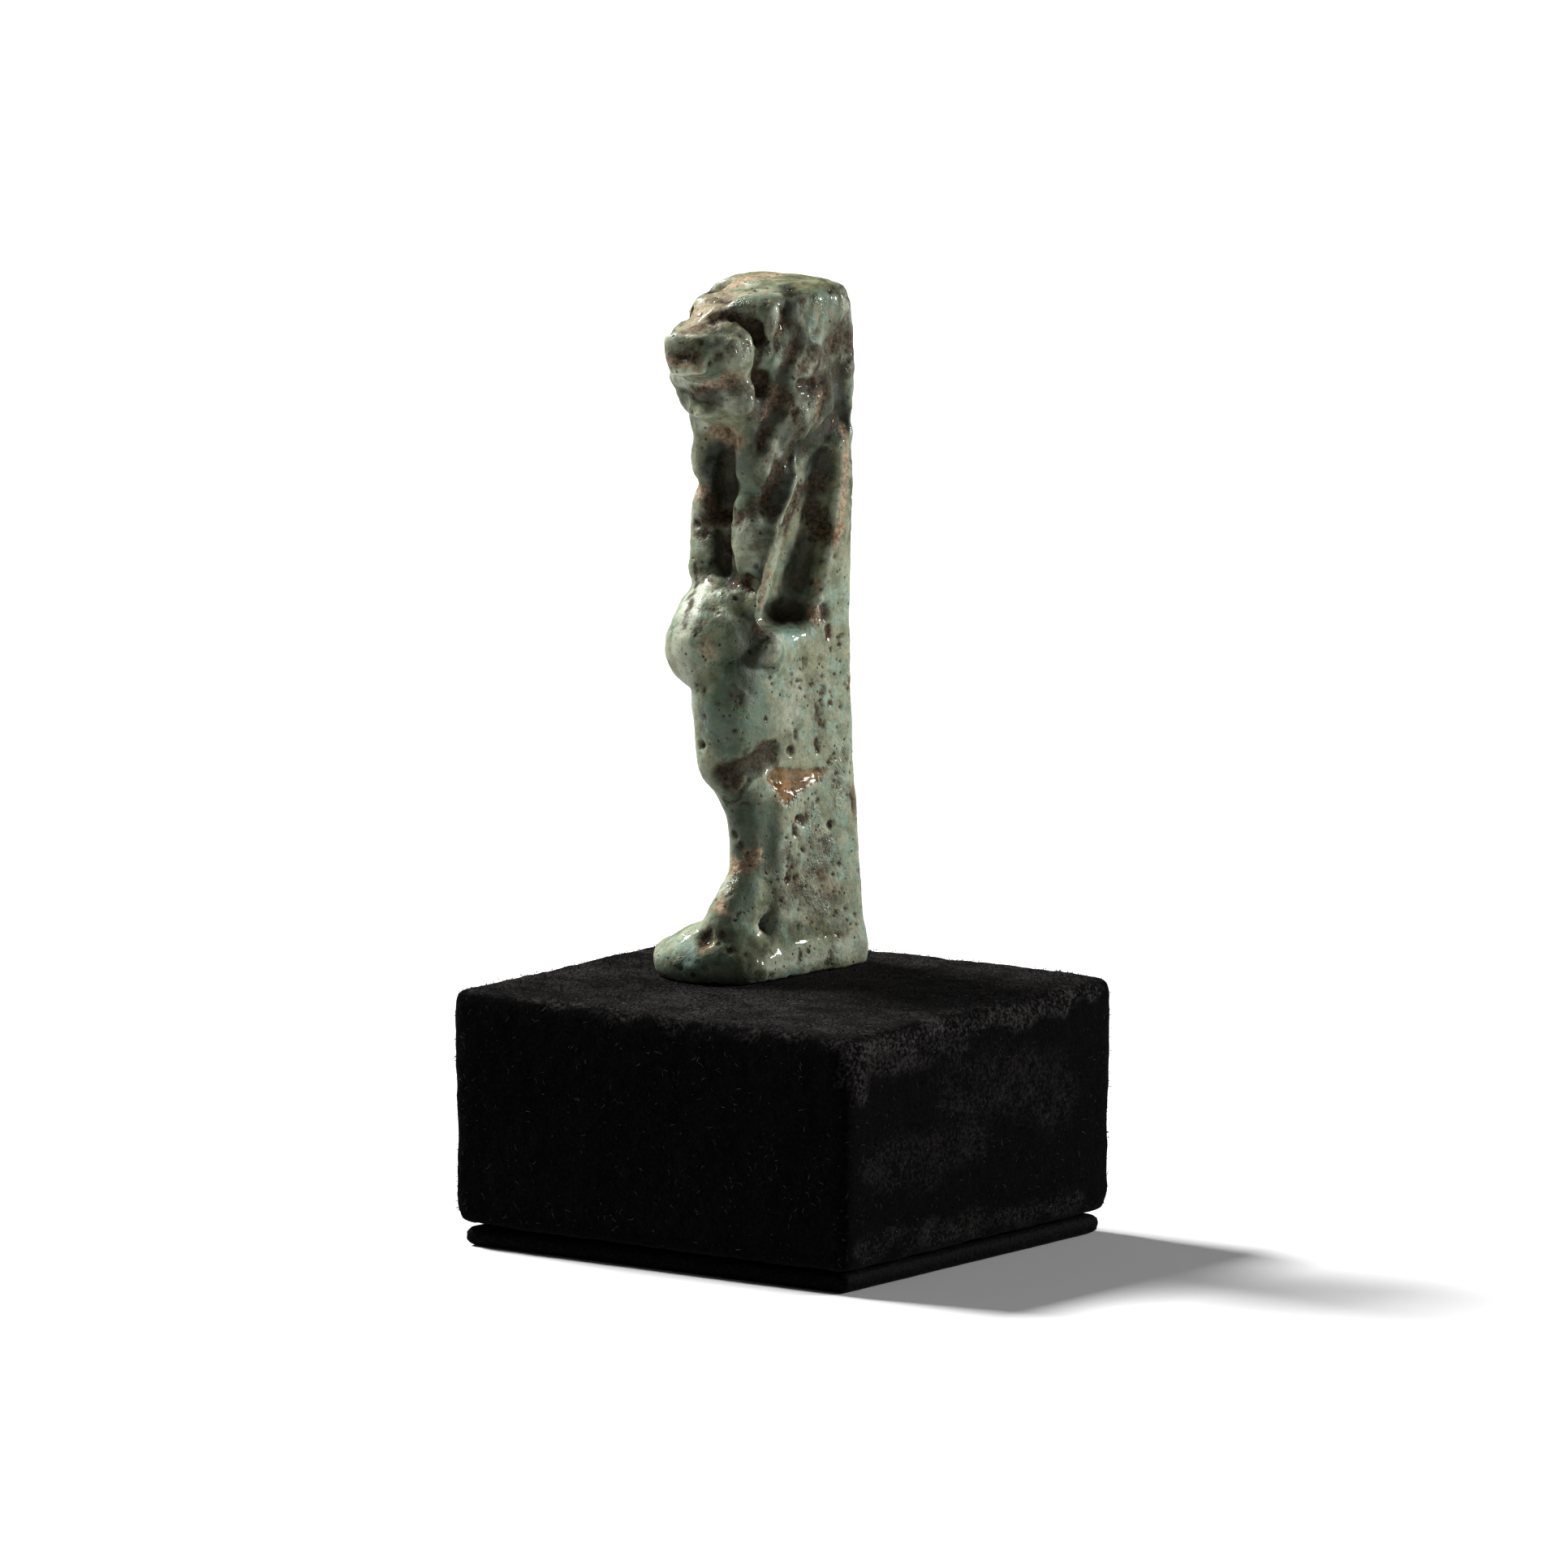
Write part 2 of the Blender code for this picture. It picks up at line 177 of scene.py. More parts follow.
def relax(points, edges, steps):
    """Each point moves halfway towards the middle of its neighbours, once a step."""
    count = len(points)
    near = np.maximum(np.bincount(edges.ravel(), minlength=count), 1)[:, None]
    for _ in range(steps):
        total = np.stack([
            np.bincount(edges[:, 0], points[edges[:, 1], k], count)
            + np.bincount(edges[:, 1], points[edges[:, 0], k], count)
            for k in range(3)
        ], 1)
        points = points + 0.5 * (total / near - points)
    return points


def add_object(name, data):
    made = bpy.data.objects.new(name, data)
    bpy.context.scene.collection.objects.link(made)
    return made


def dense_copy(node, name, cell):
    """A fine even mesh of a node's form, as a new object."""
    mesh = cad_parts[node].data.copy()
    mesh.materials.clear()
    welded = bmesh.new()
    welded.from_mesh(mesh)
    bmesh.ops.remove_doubles(welded, verts=welded.verts, dist=1e-6)
    welded.to_mesh(mesh)
    welded.free()
    piece = add_object(name, mesh)
    remesh = piece.modifiers.new("cells", "REMESH")
    remesh.mode = "VOXEL"
    remesh.voxel_size = cell
    bpy.context.view_layer.update()
    fine = bpy.data.meshes.new_from_object(piece.evaluated_get(bpy.context.evaluated_depsgraph_get()))
    piece.modifiers.clear()
    fine.name = name
    piece.data = fine
    bpy.data.meshes.remove(mesh)
    for kept in list(fine.attributes):
        if kept.name == "custom_normal":
            fine.attributes.remove(kept)
    fine.shade_smooth()
    return piece


def write_mask(mesh, name, values):
    layer = mesh.attributes.new(name, "FLOAT", "POINT")
    layer.data.foreach_set("value", np.clip(values, 0.0, 1.0).astype(np.float32))


def tree_of(mesh, points):
    return BVHTree.FromPolygons([Vector(p) for p in points], [tuple(f.vertices) for f in mesh.polygons])


# Marks placed in the reference view.

def sight(tree, x, y):
    """Where the reference view's pixel falls on a form: the point and its normal, or None."""
    across = (x - VIEW_PIXELS / 2) / VIEW_PIXELS * VIEW_SENSOR
    down = (y - VIEW_PIXELS / 2) / VIEW_PIXELS * VIEW_SENSOR
    direction = RIGHT * across - UP * down - BACK * VIEW_LENS
    place, normal, _, _ = tree.ray_cast(EYE, direction.normalized())
    return (place, normal) if place is not None else None


def along(path, step):
    """Evenly spaced pixels on a path, which is given as x, y, x, y and so on."""
    corners = list(zip(path[::2], path[1::2]))
    dots = []
    for (x0, y0), (x1, y1) in zip(corners[:-1], corners[1:]):
        count = max(1, round(math.hypot(x1 - x0, y1 - y0) / step))
        dots += [(x0 + (x1 - x0) * i / count, y0 + (y1 - y0) * i / count) for i in range(count)]
    return dots + [corners[-1]]


def hits_on(tree, path, step=MARK_STEP):
    """Where a path's pixels fall on a form, each with its normal."""
    return [hit for hit in (sight(tree, x, y) for x, y in along(path, step)) if hit]


def mirrored(hits, tree, shift):
    """The same places on the other side of the figure, moved a little and laid back on the form."""
    across = Vector((math.cos(FIGURE_TURN), math.sin(FIGURE_TURN), 0.0))
    found = []
    for place, normal in hits:
        offset = (place - FIGURE_FOOT).dot(across)
        other = place - across * 2.0 * offset + shift
        near, new_normal, _, _ = tree.find_nearest(other)
        if near is not None and (near - other).length < FAR_SIDE_REACH and new_normal.dot(BACK) < -0.2:
            found.append((near, new_normal))
    return found


def nearness(points, normals, hits, radius):
    """1 on the path of the hits, falling to 0 at the radius; only on points that face the same way."""
    places = np.array([tuple(p) for p, _ in hits])
    facing = np.array([tuple(n) for _, n in hits])
    low, high = places.min(0) - radius, places.max(0) + radius
    chosen = np.nonzero(((points > low) & (points < high)).all(1))[0]
    weight = np.zeros(len(points))
    if not len(chosen):
        return weight
    gap = np.full(len(chosen), 1e9)
    turn = np.full(len(chosen), -1.0)
    near = points[chosen]
    for place, normal in zip(places, facing):
        distance = ((near - place) ** 2).sum(1)
        closer = distance < gap
        gap = np.where(closer, distance, gap)
        turn = np.where(closer, normals[chosen] @ normal, turn)
    share = np.clip(1.0 - gap / radius ** 2, 0.0, 1.0)
    weight[chosen] = share * share * np.clip((turn + 0.3) / 0.6, 0.0, 1.0)
    return weight


def share_near(tree, points, normals, patches, gain, step=MARK_STEP, spread=1.0):
    """Each point's share of the patches, from 0 to 1."""
    share = np.zeros(len(points))
    for radius, amount, path in patches:
        hits = hits_on(tree, path, step)
        if hits:
            near = nearness(points, normals, hits, radius * PIXEL * spread)
            share = np.maximum(share, amount * np.clip(gain * near, 0.0, 1.0))
    return share


def wavering(points, reach, wave, seed):
    """The points moved about a little, so that paint laid by them gets ragged edges."""
    return points + reach * np.stack([layered(points, wave, seed + k, 2) for k in range(3)], 1)


# The carved and glazed figure.

# Paints laid as masks. 'dark' is painted shade, near black, in grooves, creases and recesses, plus one dark
# crack. 'glaze' is darker green glaze, and in many marks it is painted shade. 'pale' is paler glaze, and in
# many marks it is a painted highlight.
PAINTS = ("dirt", "dark", "pale", "worn", "glaze", "blue", "rust", "chip", "shiny", "olive", "matt")
CHIP_DEPTH = 0.13

# Each mark: height in mm (below nought cuts in), radius in pixels, paint, amount of paint, the side or sides
# of the figure that have it, and its path in pixels of the reference view.
ONE, BOTH = False, True
MARKS = [
    # muzzle and mouth
    (-0.2, 12, "dirt", 0.85, ONE, (836, 438, 850, 437)),
    (-0.05, 15, "glaze", 0.7, ONE, (843, 436, 854, 437)),
    # painted highlight along the snout's lower rim
    (0.05, 6, "pale", 0.9, ONE, (823, 457, 843, 461, 866, 457)),
    # painted highlight along the snout's top edge
    (0.09, 6, "pale", 0.8, ONE, (827, 418, 848, 414, 866, 415)),
    # painted shade in the crease between snout and cheek
    (0, 15, "glaze", 0.8, ONE, (878, 424, 880, 440, 880, 454)),
    # painted shade along the mouth
    (0, 10, "dark", 0.85, BOTH, (849, 492, 868, 493, 886, 493)),
    # painted shade inside the mouth cut
    (-0.44, 13, "glaze", 0.3, BOTH, (839, 489, 854, 494, 868, 497)),
    (0.28, 12, "pale", 0.5, ONE, (827, 457, 834, 462)),
    (0.12, 8, "pale", 0.5, ONE, (824, 420, 834, 415)),
    (0.42, 12, "glaze", 0.2, ONE, (834, 464, 850, 466, 868, 469, 886, 471)),
    (-0.58, 13, "worn", 0.5, ONE, (868, 358, 878, 352, 886, 349)),
    (-0.24, 10, "worn", 0.4, ONE, (843, 394)),
    (0, 6, "dirt", 0.8, ONE, (872, 369, 884, 368, 892, 371)),
    # painted highlight: a bright line on the snout's lower rim
    (0.08, 4, "pale", 1, ONE, (824, 457, 845, 459, 866, 456)),
    (-0.34, 15, "worn", 0.5, ONE, (842, 392, 849, 378)),
    (0.12, 7, "pale", 0.7, ONE, (861, 374, 864, 371)),
    # painted shade beside the brow
    (0, 8, "dark", 0.6, ONE, (884, 370, 896, 368)),
    (0, 6, "dirt", 0.9, BOTH, (843, 481, 862, 483, 880, 484)),
    (0, 6, "worn", 0.7, ONE, (826, 449, 845, 452, 862, 449)),
    (0, 9, "pale", 0.55, BOTH, (832, 465, 850, 469, 880, 471)),
    # cheek, eye and brow
    # paler glaze with a painted highlight: the glint cluster on the cheek
    (0.05, 20, "pale", 0.45, BOTH, (906, 434, 912, 436)),
    (0.05, 6, "pale", 0.5, BOTH, (912, 408, 922, 420, 927, 436, 925, 450, 916, 463)),
    (-0.26, 9, "dirt", 1, BOTH, (906, 391, 918, 396, 930, 405, 933, 418)),
    (-0.05, 5, "dirt", 1, BOTH, (932, 418, 934, 428, 932, 444, 930, 456)),
    (-0.1, 7, "dirt", 0.9, BOTH, (878, 394, 890, 391, 904, 385)),
    # painted highlight along the brow's top edge
    (0.1, 10, "pale", 0.5, BOTH, (908, 373, 922, 366, 936, 361)),
    (0.14, 16, "glaze", 0.85, BOTH, (918, 380, 930, 376, 944, 372)),
    (-0.42, 13, "dirt", 1, BOTH, (936, 470, 938, 475)),
    (0, 10, "worn", 0.8, BOTH, (905, 464, 892, 470, 876, 473)),
    (-0.08, 8, "dirt", 0.7, ONE, (881, 370, 898, 371)),
    (0, 13, "worn", 0.9, ONE, (900, 352, 925, 341, 950, 338)),
    (0, 12, "worn", 0.6, ONE, (858, 384, 866, 396, 848, 406)),
    (0, 15, "worn", 0.45, ONE, (872, 356, 900, 362, 880, 380, 866, 372)),
    # painted highlight: a glint on the forehead
    (0, 10, "pale", 0.9, ONE, (922, 346, 926, 350)),
    (0, 12, "glaze", 0.7, BOTH, (864, 424, 880, 416, 894, 414)),
    # jaw and throat
    # paler glaze with a painted highlight: the glint cluster on the jaw
    (0.03, 12, "pale", 0.5, BOTH, (896, 492, 908, 500, 922, 494)),
    # painted shade in the crease behind the jaw
    (-0.1, 7, "dark", 0.6, BOTH, (928, 486, 942, 500, 938, 513)),
    (0.06, 8, "pale", 0.8, ONE, (862, 525, 870, 522)),
    (0, 13, "worn", 0.75, BOTH, (887, 528, 900, 532, 908, 545)),
    # wig: grooves, with painted shade ('dark') and dirt in them
    (-0.1, 7, "dirt", 0.95, BOTH, (965, 380, 968, 396, 962, 412, 958, 424)),
    (-0.13, 12, "dark", 1, BOTH, (976, 362, 973, 388, 981, 410, 982, 428)),
    (-0.2, 10, "dark", 1, BOTH, (982, 428, 967, 446, 963, 470, 960, 490)),
    (0, 9, "dirt", 0.7, BOTH, (1003, 434, 992, 448, 985, 458)),
    (-0.1, 12, "dirt", 0.75, BOTH, (1040, 404, 1024, 424, 1012, 446, 1008, 462)),
    (-0.26, 8, "dark", 1, BOTH, (988, 474, 1002, 475)),
    (-0.14, 12, "dark", 1, BOTH, (1002, 476, 1014, 470)),
    (-0.16, 12, "dark", 1, BOTH, (1034, 458, 1035, 480, 1036, 505)),
    (-0.1, 9, "dirt", 0.8, BOTH, (968, 484, 974, 498, 984, 512, 986, 532)),
    (-0.24, 12, "dark", 1, BOTH, (957, 508, 948, 524, 936, 545)),
    (-0.1, 8, "dirt", 0.8, BOTH, (1019, 485, 1013, 500, 1012, 512)),
    (-0.26, 16, "dark", 1, BOTH, (1040, 518, 1020, 532, 1000, 547, 982, 562)),
    (-0.26, 15, "dark", 1, BOTH, (982, 562, 970, 580, 961, 600, 952, 622)),
    (-0.1, 9, "dirt", 0.7, BOTH, (957, 572, 954, 586, 944, 606, 930, 622)),
    # wig: lumps
    (0, 8, "pale", 0.7, BOTH, (953, 384, 950, 400, 946, 414)),
    (0.34, 13, "blue", 0.45, BOTH, (944, 436, 949, 446)),
    (0.1, 8, "dirt", 0.8, BOTH, (936, 424, 942, 428)),
    (0.08, 10, "blue", 0.4, BOTH, (1000, 398, 996, 412, 1004, 424)),
    (0.06, 8, "pale", 0.6, BOTH, (1010, 438, 1000, 452, 992, 462)),
    (0.1, 8, "pale", 0.6, BOTH, (978, 456, 973, 466)),
    (0.12, 11, "pale", 0.5, BOTH, (1007, 492, 1003, 505)),
    (0.1, 10, "pale", 0.6, BOTH, (987, 502, 991, 516)),
    (0.1, 12, "pale", 0.6, BOTH, (966, 528, 955, 545, 948, 560, 942, 578)),
    (0.08, 9, "pale", 0.6, ONE, (1051, 466, 1052, 490, 1053, 516)),
    (0.04, 10, "blue", 0.4, BOTH, (1010, 366, 1024, 372, 1018, 384)),
    # painted highlight: the large glint on the wig's back corner
    (0.06, 10, "pale", 0.9, ONE, (1042, 374, 1048, 386)),
    (0.08, 9, "pale", 0.6, BOTH, (1043, 444, 1046, 456)),
    (0, 12, "dirt", 0.7, ONE, (1052, 412, 1053, 436)),
    (0, 8, "dirt", 0.6, BOTH, (970, 340, 990, 342, 1012, 344)),
    # breasts and the valley between them, with painted shade in the valley
    (-0.3, 18, "dark", 1, ONE, (884, 562, 884, 600, 888, 628)),
    (-0.22, 9, "dark", 0.9, ONE, (898, 570, 900, 600, 899, 626)),
    (-0.18, 12, "dark", 0.9, ONE, (890, 660, 890, 690, 896, 714)),
    (-0.18, 8, "dirt", 0.9, ONE, (899, 668, 900, 694, 902, 718)),
    (-0.1, 9, "dirt", 0.9, ONE, (884, 632, 900, 634, 912, 640)),
    (0.12, 12, "pale", 0.7, BOTH, (918, 654, 930, 650)),
    (-0.3, 11, "dirt", 0.9, BOTH, (920, 717, 926, 720)),
    (-0.1, 12, "glaze", 0.9, BOTH, (912, 714, 930, 706)),
    (-0.14, 8, "dirt", 0.5, ONE, (867, 656)),
    (-0.14, 5, "dirt", 0.9, ONE, (858, 643, 860, 646)),
    (0, 10, "worn", 0.7, ONE, (862, 606, 864, 615)),
    (0, 16, "glaze", 0.8, BOTH, (922, 590, 926, 620)),
    (0, 10, "dirt", 0.5, BOTH, (932, 578, 944, 600)),
    # brown and pale patches between the larger marks, with more painted shade ('dark') and a painted
    # highlight on the knob
    (0, 11, "dirt", 0.7, BOTH, (1000, 440, 994, 452)),
    (0, 9, "pale", 0.8, BOTH, (1012, 442, 1008, 456)),
    (0, 17, "dirt", 0.75, BOTH, (1034, 412, 1050, 425, 1044, 440)),
    (0, 14, "dirt", 0.6, BOTH, (1022, 462, 1018, 480)),
    (0, 10, "worn", 0.7, BOTH, (1009, 490, 1006, 506)),
    (0, 12, "dirt", 0.7, BOTH, (984, 524, 986, 538)),
    (0, 9, "dirt", 0.7, BOTH, (972, 495, 966, 512)),
    (0, 7, "worn", 0.8, BOTH, (950, 480, 953, 495, 946, 510)),
    (0, 10, "dirt", 0.5, BOTH, (975, 440, 982, 425, 980, 400)),
    (0, 10, "dirt", 0.5, ONE, (895, 478, 906, 480, 925, 478)),
    (0, 10, "dirt", 0.6, ONE, (924, 506, 934, 512)),
    (0, 9, "dirt", 0.5, ONE, (866, 402, 846, 409, 888, 404)),
    (0, 7, "pale", 0.9, BOTH, (968, 600, 975, 585, 985, 575)),
    (0, 12, "dirt", 0.75, BOTH, (1000, 596, 1012, 590)),
    (0, 13, "dirt", 0.6, BOTH, (952, 560, 958, 574)),
    (0, 10, "pale", 0.7, BOTH, (968, 540, 958, 556)),
    (0, 12, "dirt", 0.75, ONE, (874, 618, 880, 632, 870, 640)),
    (0, 9, "dirt", 0.7, BOTH, (916, 632, 936, 634, 950, 630)),
    (0, 9, "dirt", 0.7, ONE, (858, 650, 866, 660)),
    (0, 7, "dirt", 0.7, ONE, (870, 700, 868, 712, 880, 722)),
    (0, 8, "dirt", 0.5, ONE, (935, 660, 930, 675)),
    (0, 12, "dirt", 0.35, ONE, (1000, 840, 1010, 900)),
    (0, 12, "pale", 0.5, ONE, (985, 830, 978, 870, 970, 890)),
    (0, 14, "dirt", 0.45, ONE, (980, 1090, 1000, 1110, 1010, 1130)),
    (0, 9, "dirt", 0.6, ONE, (972, 1052, 978, 1066)),
    (0, 10, "worn", 0.35, ONE, (1012, 1076, 1024, 1092, 1014, 1100)),
    (0, 9, "worn", 0.3, ONE, (990, 1128, 1004, 1136)),
    (0, 12, "dirt", 0.4, BOTH, (984, 478, 1012, 500, 1000, 520)),
    (0, 10, "worn", 0.45, BOTH, (868, 792, 876, 806)),
    (0, 13, "dirt", 0.4, ONE, (1000, 1040, 1024, 1060)),
    (0, 12, "pale", 0.45, ONE, (970, 1035, 964, 1060, 972, 1120)),
    (0.16, 8, "glaze", 0.7, ONE, (880, 664, 878, 676)),
    (-0.12, 8, "dark", 0.9, ONE, (892, 690, 894, 712)),
    (0.1, 9, "glaze", 0.6, ONE, (876, 576, 878, 596)),
    # painted highlight on the top of the knob at the hand
    (0, 9, "pale", 1, ONE, (948, 792, 958, 787)),
    # painted shade in wig grooves and beside the arm
    (0, 10, "dark", 0.8, BOTH, (970, 352, 975, 372)),
    (0, 8, "dark", 0.8, BOTH, (1012, 440, 1000, 430, 990, 420)),
    (0.1, 8, "pale", 0.8, BOTH, (1002, 446, 994, 456)),
    (0, 10, "dark", 0.7, BOTH, (1026, 490, 1022, 505)),
    (0, 9, "dark", 0.7, BOTH, (975, 530, 965, 548)),
    (0, 10, "dark", 0.6, ONE, (950, 660, 944, 690, 938, 712)),
    (0, 12, "glaze", 0.7, BOTH, (930, 520, 920, 545)),
    # belly, thigh, leg and foot: painted highlights on the belly's lit top and left side, painted shade on
    # its right side, the thigh, the leg and the foot
    (-0.26, 17, "pale", 0.6, ONE, (836, 736, 828, 756)),
    # painted highlights: glints on the top of the belly
    (0.04, 7, "pale", 0.7, ONE, (882, 730, 892, 735, 905, 731)),
    (0.06, 9, "pale", 0.7, ONE, (889, 756, 892, 760)),
    (-0.06, 7, "dirt", 0.7, ONE, (872, 750, 878, 754)),
    (-0.06, 5, "dirt", 0.8, ONE, (862, 768, 858, 778)),
    (-0.05, 6, "dirt", 0.85, ONE, (858, 700, 862, 714, 854, 730, 846, 752, 843, 772)),
    (0, 5, "pale", 0.6, ONE, (866, 710, 854, 748, 843, 778, 840, 812)),
    # painted shade on the belly's right side
    (-0.08, 16, "dark", 0.85, ONE, (922, 770, 924, 800, 920, 836)),
    # painted highlight: the belly's lit left side
    (0, 15, "pale", 1, ONE, (857, 726, 850, 750, 842, 776, 836, 800, 842, 826)),
    # painted highlight along the breasts' lit left edge
    (0, 9, "pale", 0.8, ONE, (851, 548, 851, 580, 853, 612)),
    (0, 9, "pale", 0.7, ONE, (857, 640, 860, 672)),
    (0, 26, "glaze", 0.9, BOTH, (926, 570, 930, 610, 922, 640)),
    (0, 24, "glaze", 0.7, ONE, (914, 790, 912, 830)),
    (0, 22, "dark", 0.55, ONE, (920, 776, 924, 806, 918, 840)),
    # painted shade on the thigh, leg, ankle and foot
    (0, 30, "glaze", 0.95, ONE, (890, 870, 900, 905, 930, 900, 925, 860)),
    (0, 22, "dark", 0.45, ONE, (924, 990, 928, 1020, 930, 1050)),
    (0, 22, "glaze", 0.8, ONE, (905, 990, 912, 1030, 920, 1050)),
    (0, 20, "glaze", 0.45, ONE, (915, 1095, 905, 1120, 900, 1140)),
    (0, 22, "glaze", 0.6, ONE, (905, 1160, 900, 1195, 870, 1200)),
    (-0.08, 9, "dirt", 0.7, ONE, (907, 858, 910, 862)),
    # arm, hand and the hollow behind the arm, with painted shade in the hollow and painted light and shade
    # on the knob
    (0.06, 7, "pale", 0.7, BOTH, (972, 636, 960, 666, 949, 706, 941, 742, 937, 768)),
    (0, 5, "worn", 0.8, BOTH, (946, 700, 941, 724, 937, 750)),
    (-0.05, 12, "dirt", 0.85, BOTH, (986, 606, 978, 622, 966, 650)),
    # painted shade in the hollow behind the arm
    (-0.06, 18, "dark", 1, BOTH, (1006, 566, 1000, 600)),
    (-0.12, 17, "dirt", 0.95, BOTH, (996, 632, 1010, 640, 1014, 656)),
    (-0.08, 22, "dark", 0.8, BOTH, (985, 680, 978, 712)),
    (-0.25, 17, "dark", 1, BOTH, (952, 756, 970, 752, 988, 756)),
    (-0.06, 8, "worn", 0.8, BOTH, (1005, 716, 1008, 724)),
    (-0.06, 9, "worn", 0.8, BOTH, (1000, 750, 1004, 758)),
    (0, 9, "dirt", 0.8, BOTH, (936, 774, 946, 780)),
    (0.46, 11, "pale", 0.5, BOTH, (948, 807, 952, 801)),
    # painted highlight on the knob's lit side, painted shade on its far side
    (0, 8, "pale", 1, BOTH, (937, 808, 940, 797, 948, 789)),
    (0, 10, "glaze", 0.95, BOTH, (962, 800, 962, 812, 954, 822)),
    (-0.08, 12, "dark", 0.35, BOTH, (924, 790, 924, 808)),
    (0, 12, "blue", 0.7, BOTH, (966, 782, 980, 780)),
    # pillar edge and slab
    (0, 7, "worn", 0.9, ONE, (1042, 528, 1044, 570, 1040, 610, 1036, 650, 1030, 668)),
    # painted shade along the pillar's back edge
    (-0.05, 5, "dark", 0.8, ONE, (1048, 596, 1049, 640, 1048, 662)),
    (0.05, 6, "pale", 0.5, BOTH, (1031, 606, 1023, 658, 1019, 690, 1012, 724, 1000, 762)),
    (-0.2, 8, "dirt", 0.7, ONE, (1016, 748, 1018, 760)),
    (-0.12, 6, "dirt", 0.9, ONE, (1021, 774, 1022, 783)),
    (-0.12, 3, "dirt", 1, ONE, (1033, 785, 1038, 782)),
    (-0.1, 4, "dirt", 0.9, ONE, (992, 812, 992, 820)),
    (-0.1, 3, "dirt", 1, ONE, (983, 838, 987, 839)),
    (-0.1, 7, "dirt", 0.85, ONE, (1008, 868, 1008, 880, 1012, 890)),
    (-0.1, 5, "dirt", 0.9, ONE, (1023, 866)),
    (-0.1, 4, "dirt", 0.8, ONE, (1015, 846, 1014, 854)),
    (-0.1, 4, "dirt", 0.9, ONE, (981, 902, 981, 909)),
    (-0.22, 6, "dirt", 1, ONE, (975, 925)),
    (-0.12, 5, "dirt", 1, ONE, (1007, 915, 1008, 924)),
    (-0.22, 6, "dirt", 1, ONE, (864, 918)),
    (-0.06, 5, "dirt", 0.8, ONE, (869, 852)),
    (-0.06, 5, "dirt", 0.8, ONE, (868, 883)),
    (0, 5, "rust", 0.9, ONE, (1047, 800, 1046, 840, 1048, 880, 1050, 905)),
    (0, 5, "rust", 0.8, ONE, (1049, 660, 1050, 700, 1049, 735)),
    # knee groove with painted shade in it, and a dark crack
    (-0.3, 15, "dark", 0.95, ONE, (894, 958, 912, 950, 930, 940, 950, 930)),
    (-0.06, 13, "dirt", 0.8, ONE, (892, 952, 896, 964, 904, 966)),
    (0, 16, "dirt", 0.45, ONE, (900, 955, 925, 942, 946, 932)),
    (-0.05, 5, "dirt", 0.8, ONE, (918, 927, 936, 920, 958, 912)),
    (-0.1, 3, "dark", 0.8, ONE, (924, 961, 916, 971, 911, 985, 904, 991, 896, 990)),
    # broken glaze chip
    (-0.07, 3, "dirt", 0.9, ONE, (948, 960, 964, 962, 980, 962, 992, 958, 1012, 949)),
    # leg, with painted shade in the groove by the slab and a painted highlight on the ankle
    # painted shade in the groove between leg and slab
    (-0.04, 17, "glaze", 0.9, ONE, (942, 1000, 945, 1040, 944, 1070)),
    (-0.1, 6, "dirt", 0.8, ONE, (905, 1030)),
    (-0.06, 5, "dirt", 0.8, ONE, (914, 1043)),
    (-0.06, 5, "dirt", 0.8, ONE, (918, 992)),
    (0.08, 11, "worn", 0.95, ONE, (905, 1070, 918, 1066, 930, 1056)),
    (0, 7, "dirt", 0.6, ONE, (926, 1056, 916, 1062)),
    # painted highlight: a glint on the ankle
    (0.06, 9, "pale", 0.9, ONE, (896, 1088, 892, 1096)),
    (0, 8, "worn", 0.8, ONE, (888, 1112, 892, 1120)),
    (-0.06, 14, "blue", 0.4, ONE, (920, 1100, 916, 1130)),
    (0, 14, "pale", 0.55, BOTH, (918, 664, 922, 690)),
    (0, 30, "matt", 1, ONE, (836, 1172, 850, 1156, 870, 1148, 900, 1180)),
    (0, 20, "matt", 1, ONE, (932, 1168, 945, 1172, 962, 1168, 985, 1163, 1010, 1158)),
    (0, 12, "matt", 1, BOTH, (946, 766, 958, 772, 975, 775, 990, 771)),
    # pits of the lower slab
    (-0.16, 6, "dirt", 0.9, ONE, (985, 1010, 990, 1012)),
    (-0.12, 5, "dirt", 0.9, ONE, (980, 1018, 980, 1027)),
    (-0.2, 5, "dirt", 1, ONE, (1023, 1016)),
    (-0.1, 5, "dirt", 0.9, ONE, (1016, 1034, 1018, 1048)),
    (-0.16, 5, "dirt", 1, ONE, (971, 1084)),
    (-0.08, 12, "dirt", 0.6, ONE, (978, 1088, 986, 1098)),
    (-0.05, 12, "dirt", 0.5, ONE, (964, 1104, 974, 1110)),
    (-0.1, 11, "dirt", 0.5, ONE, (996, 1072, 1010, 1078)),
    (-0.05, 8, "dirt", 0.5, ONE, (1012, 1104, 1034, 1108)),
    # painted highlights: glints on the leg's edge by the slab
    (0.06, 7, "pale", 1, ONE, (949, 1077)),
    (0.03, 6, "pale", 1, ONE, (943, 1122, 936, 1136, 935, 1147)),
    (-0.08, 4, "dirt", 0.9, ONE, (984, 1142)),
    (-0.05, 5, "rust", 0.9, ONE, (1052, 970, 1053, 1010)),
    (0, 5, "rust", 0.9, ONE, (1056, 1066, 1059, 1090, 1061, 1112)),
    (-0.1, 6, "dirt", 0.8, ONE, (1051, 984, 1052, 992)),
    # foot and base
    (-0.26, 10, "dirt", 1, ONE, (868, 1155, 869, 1158)),
    (0, 8, "worn", 0.8, ONE, (868, 1168, 874, 1166)),
    (-0.08, 5, "dirt", 0.9, ONE, (890, 1152)),
    (-0.1, 5, "dirt", 0.9, ONE, (899, 1171)),
    (-0.1, 4, "dirt", 0.9, ONE, (869, 1195)),
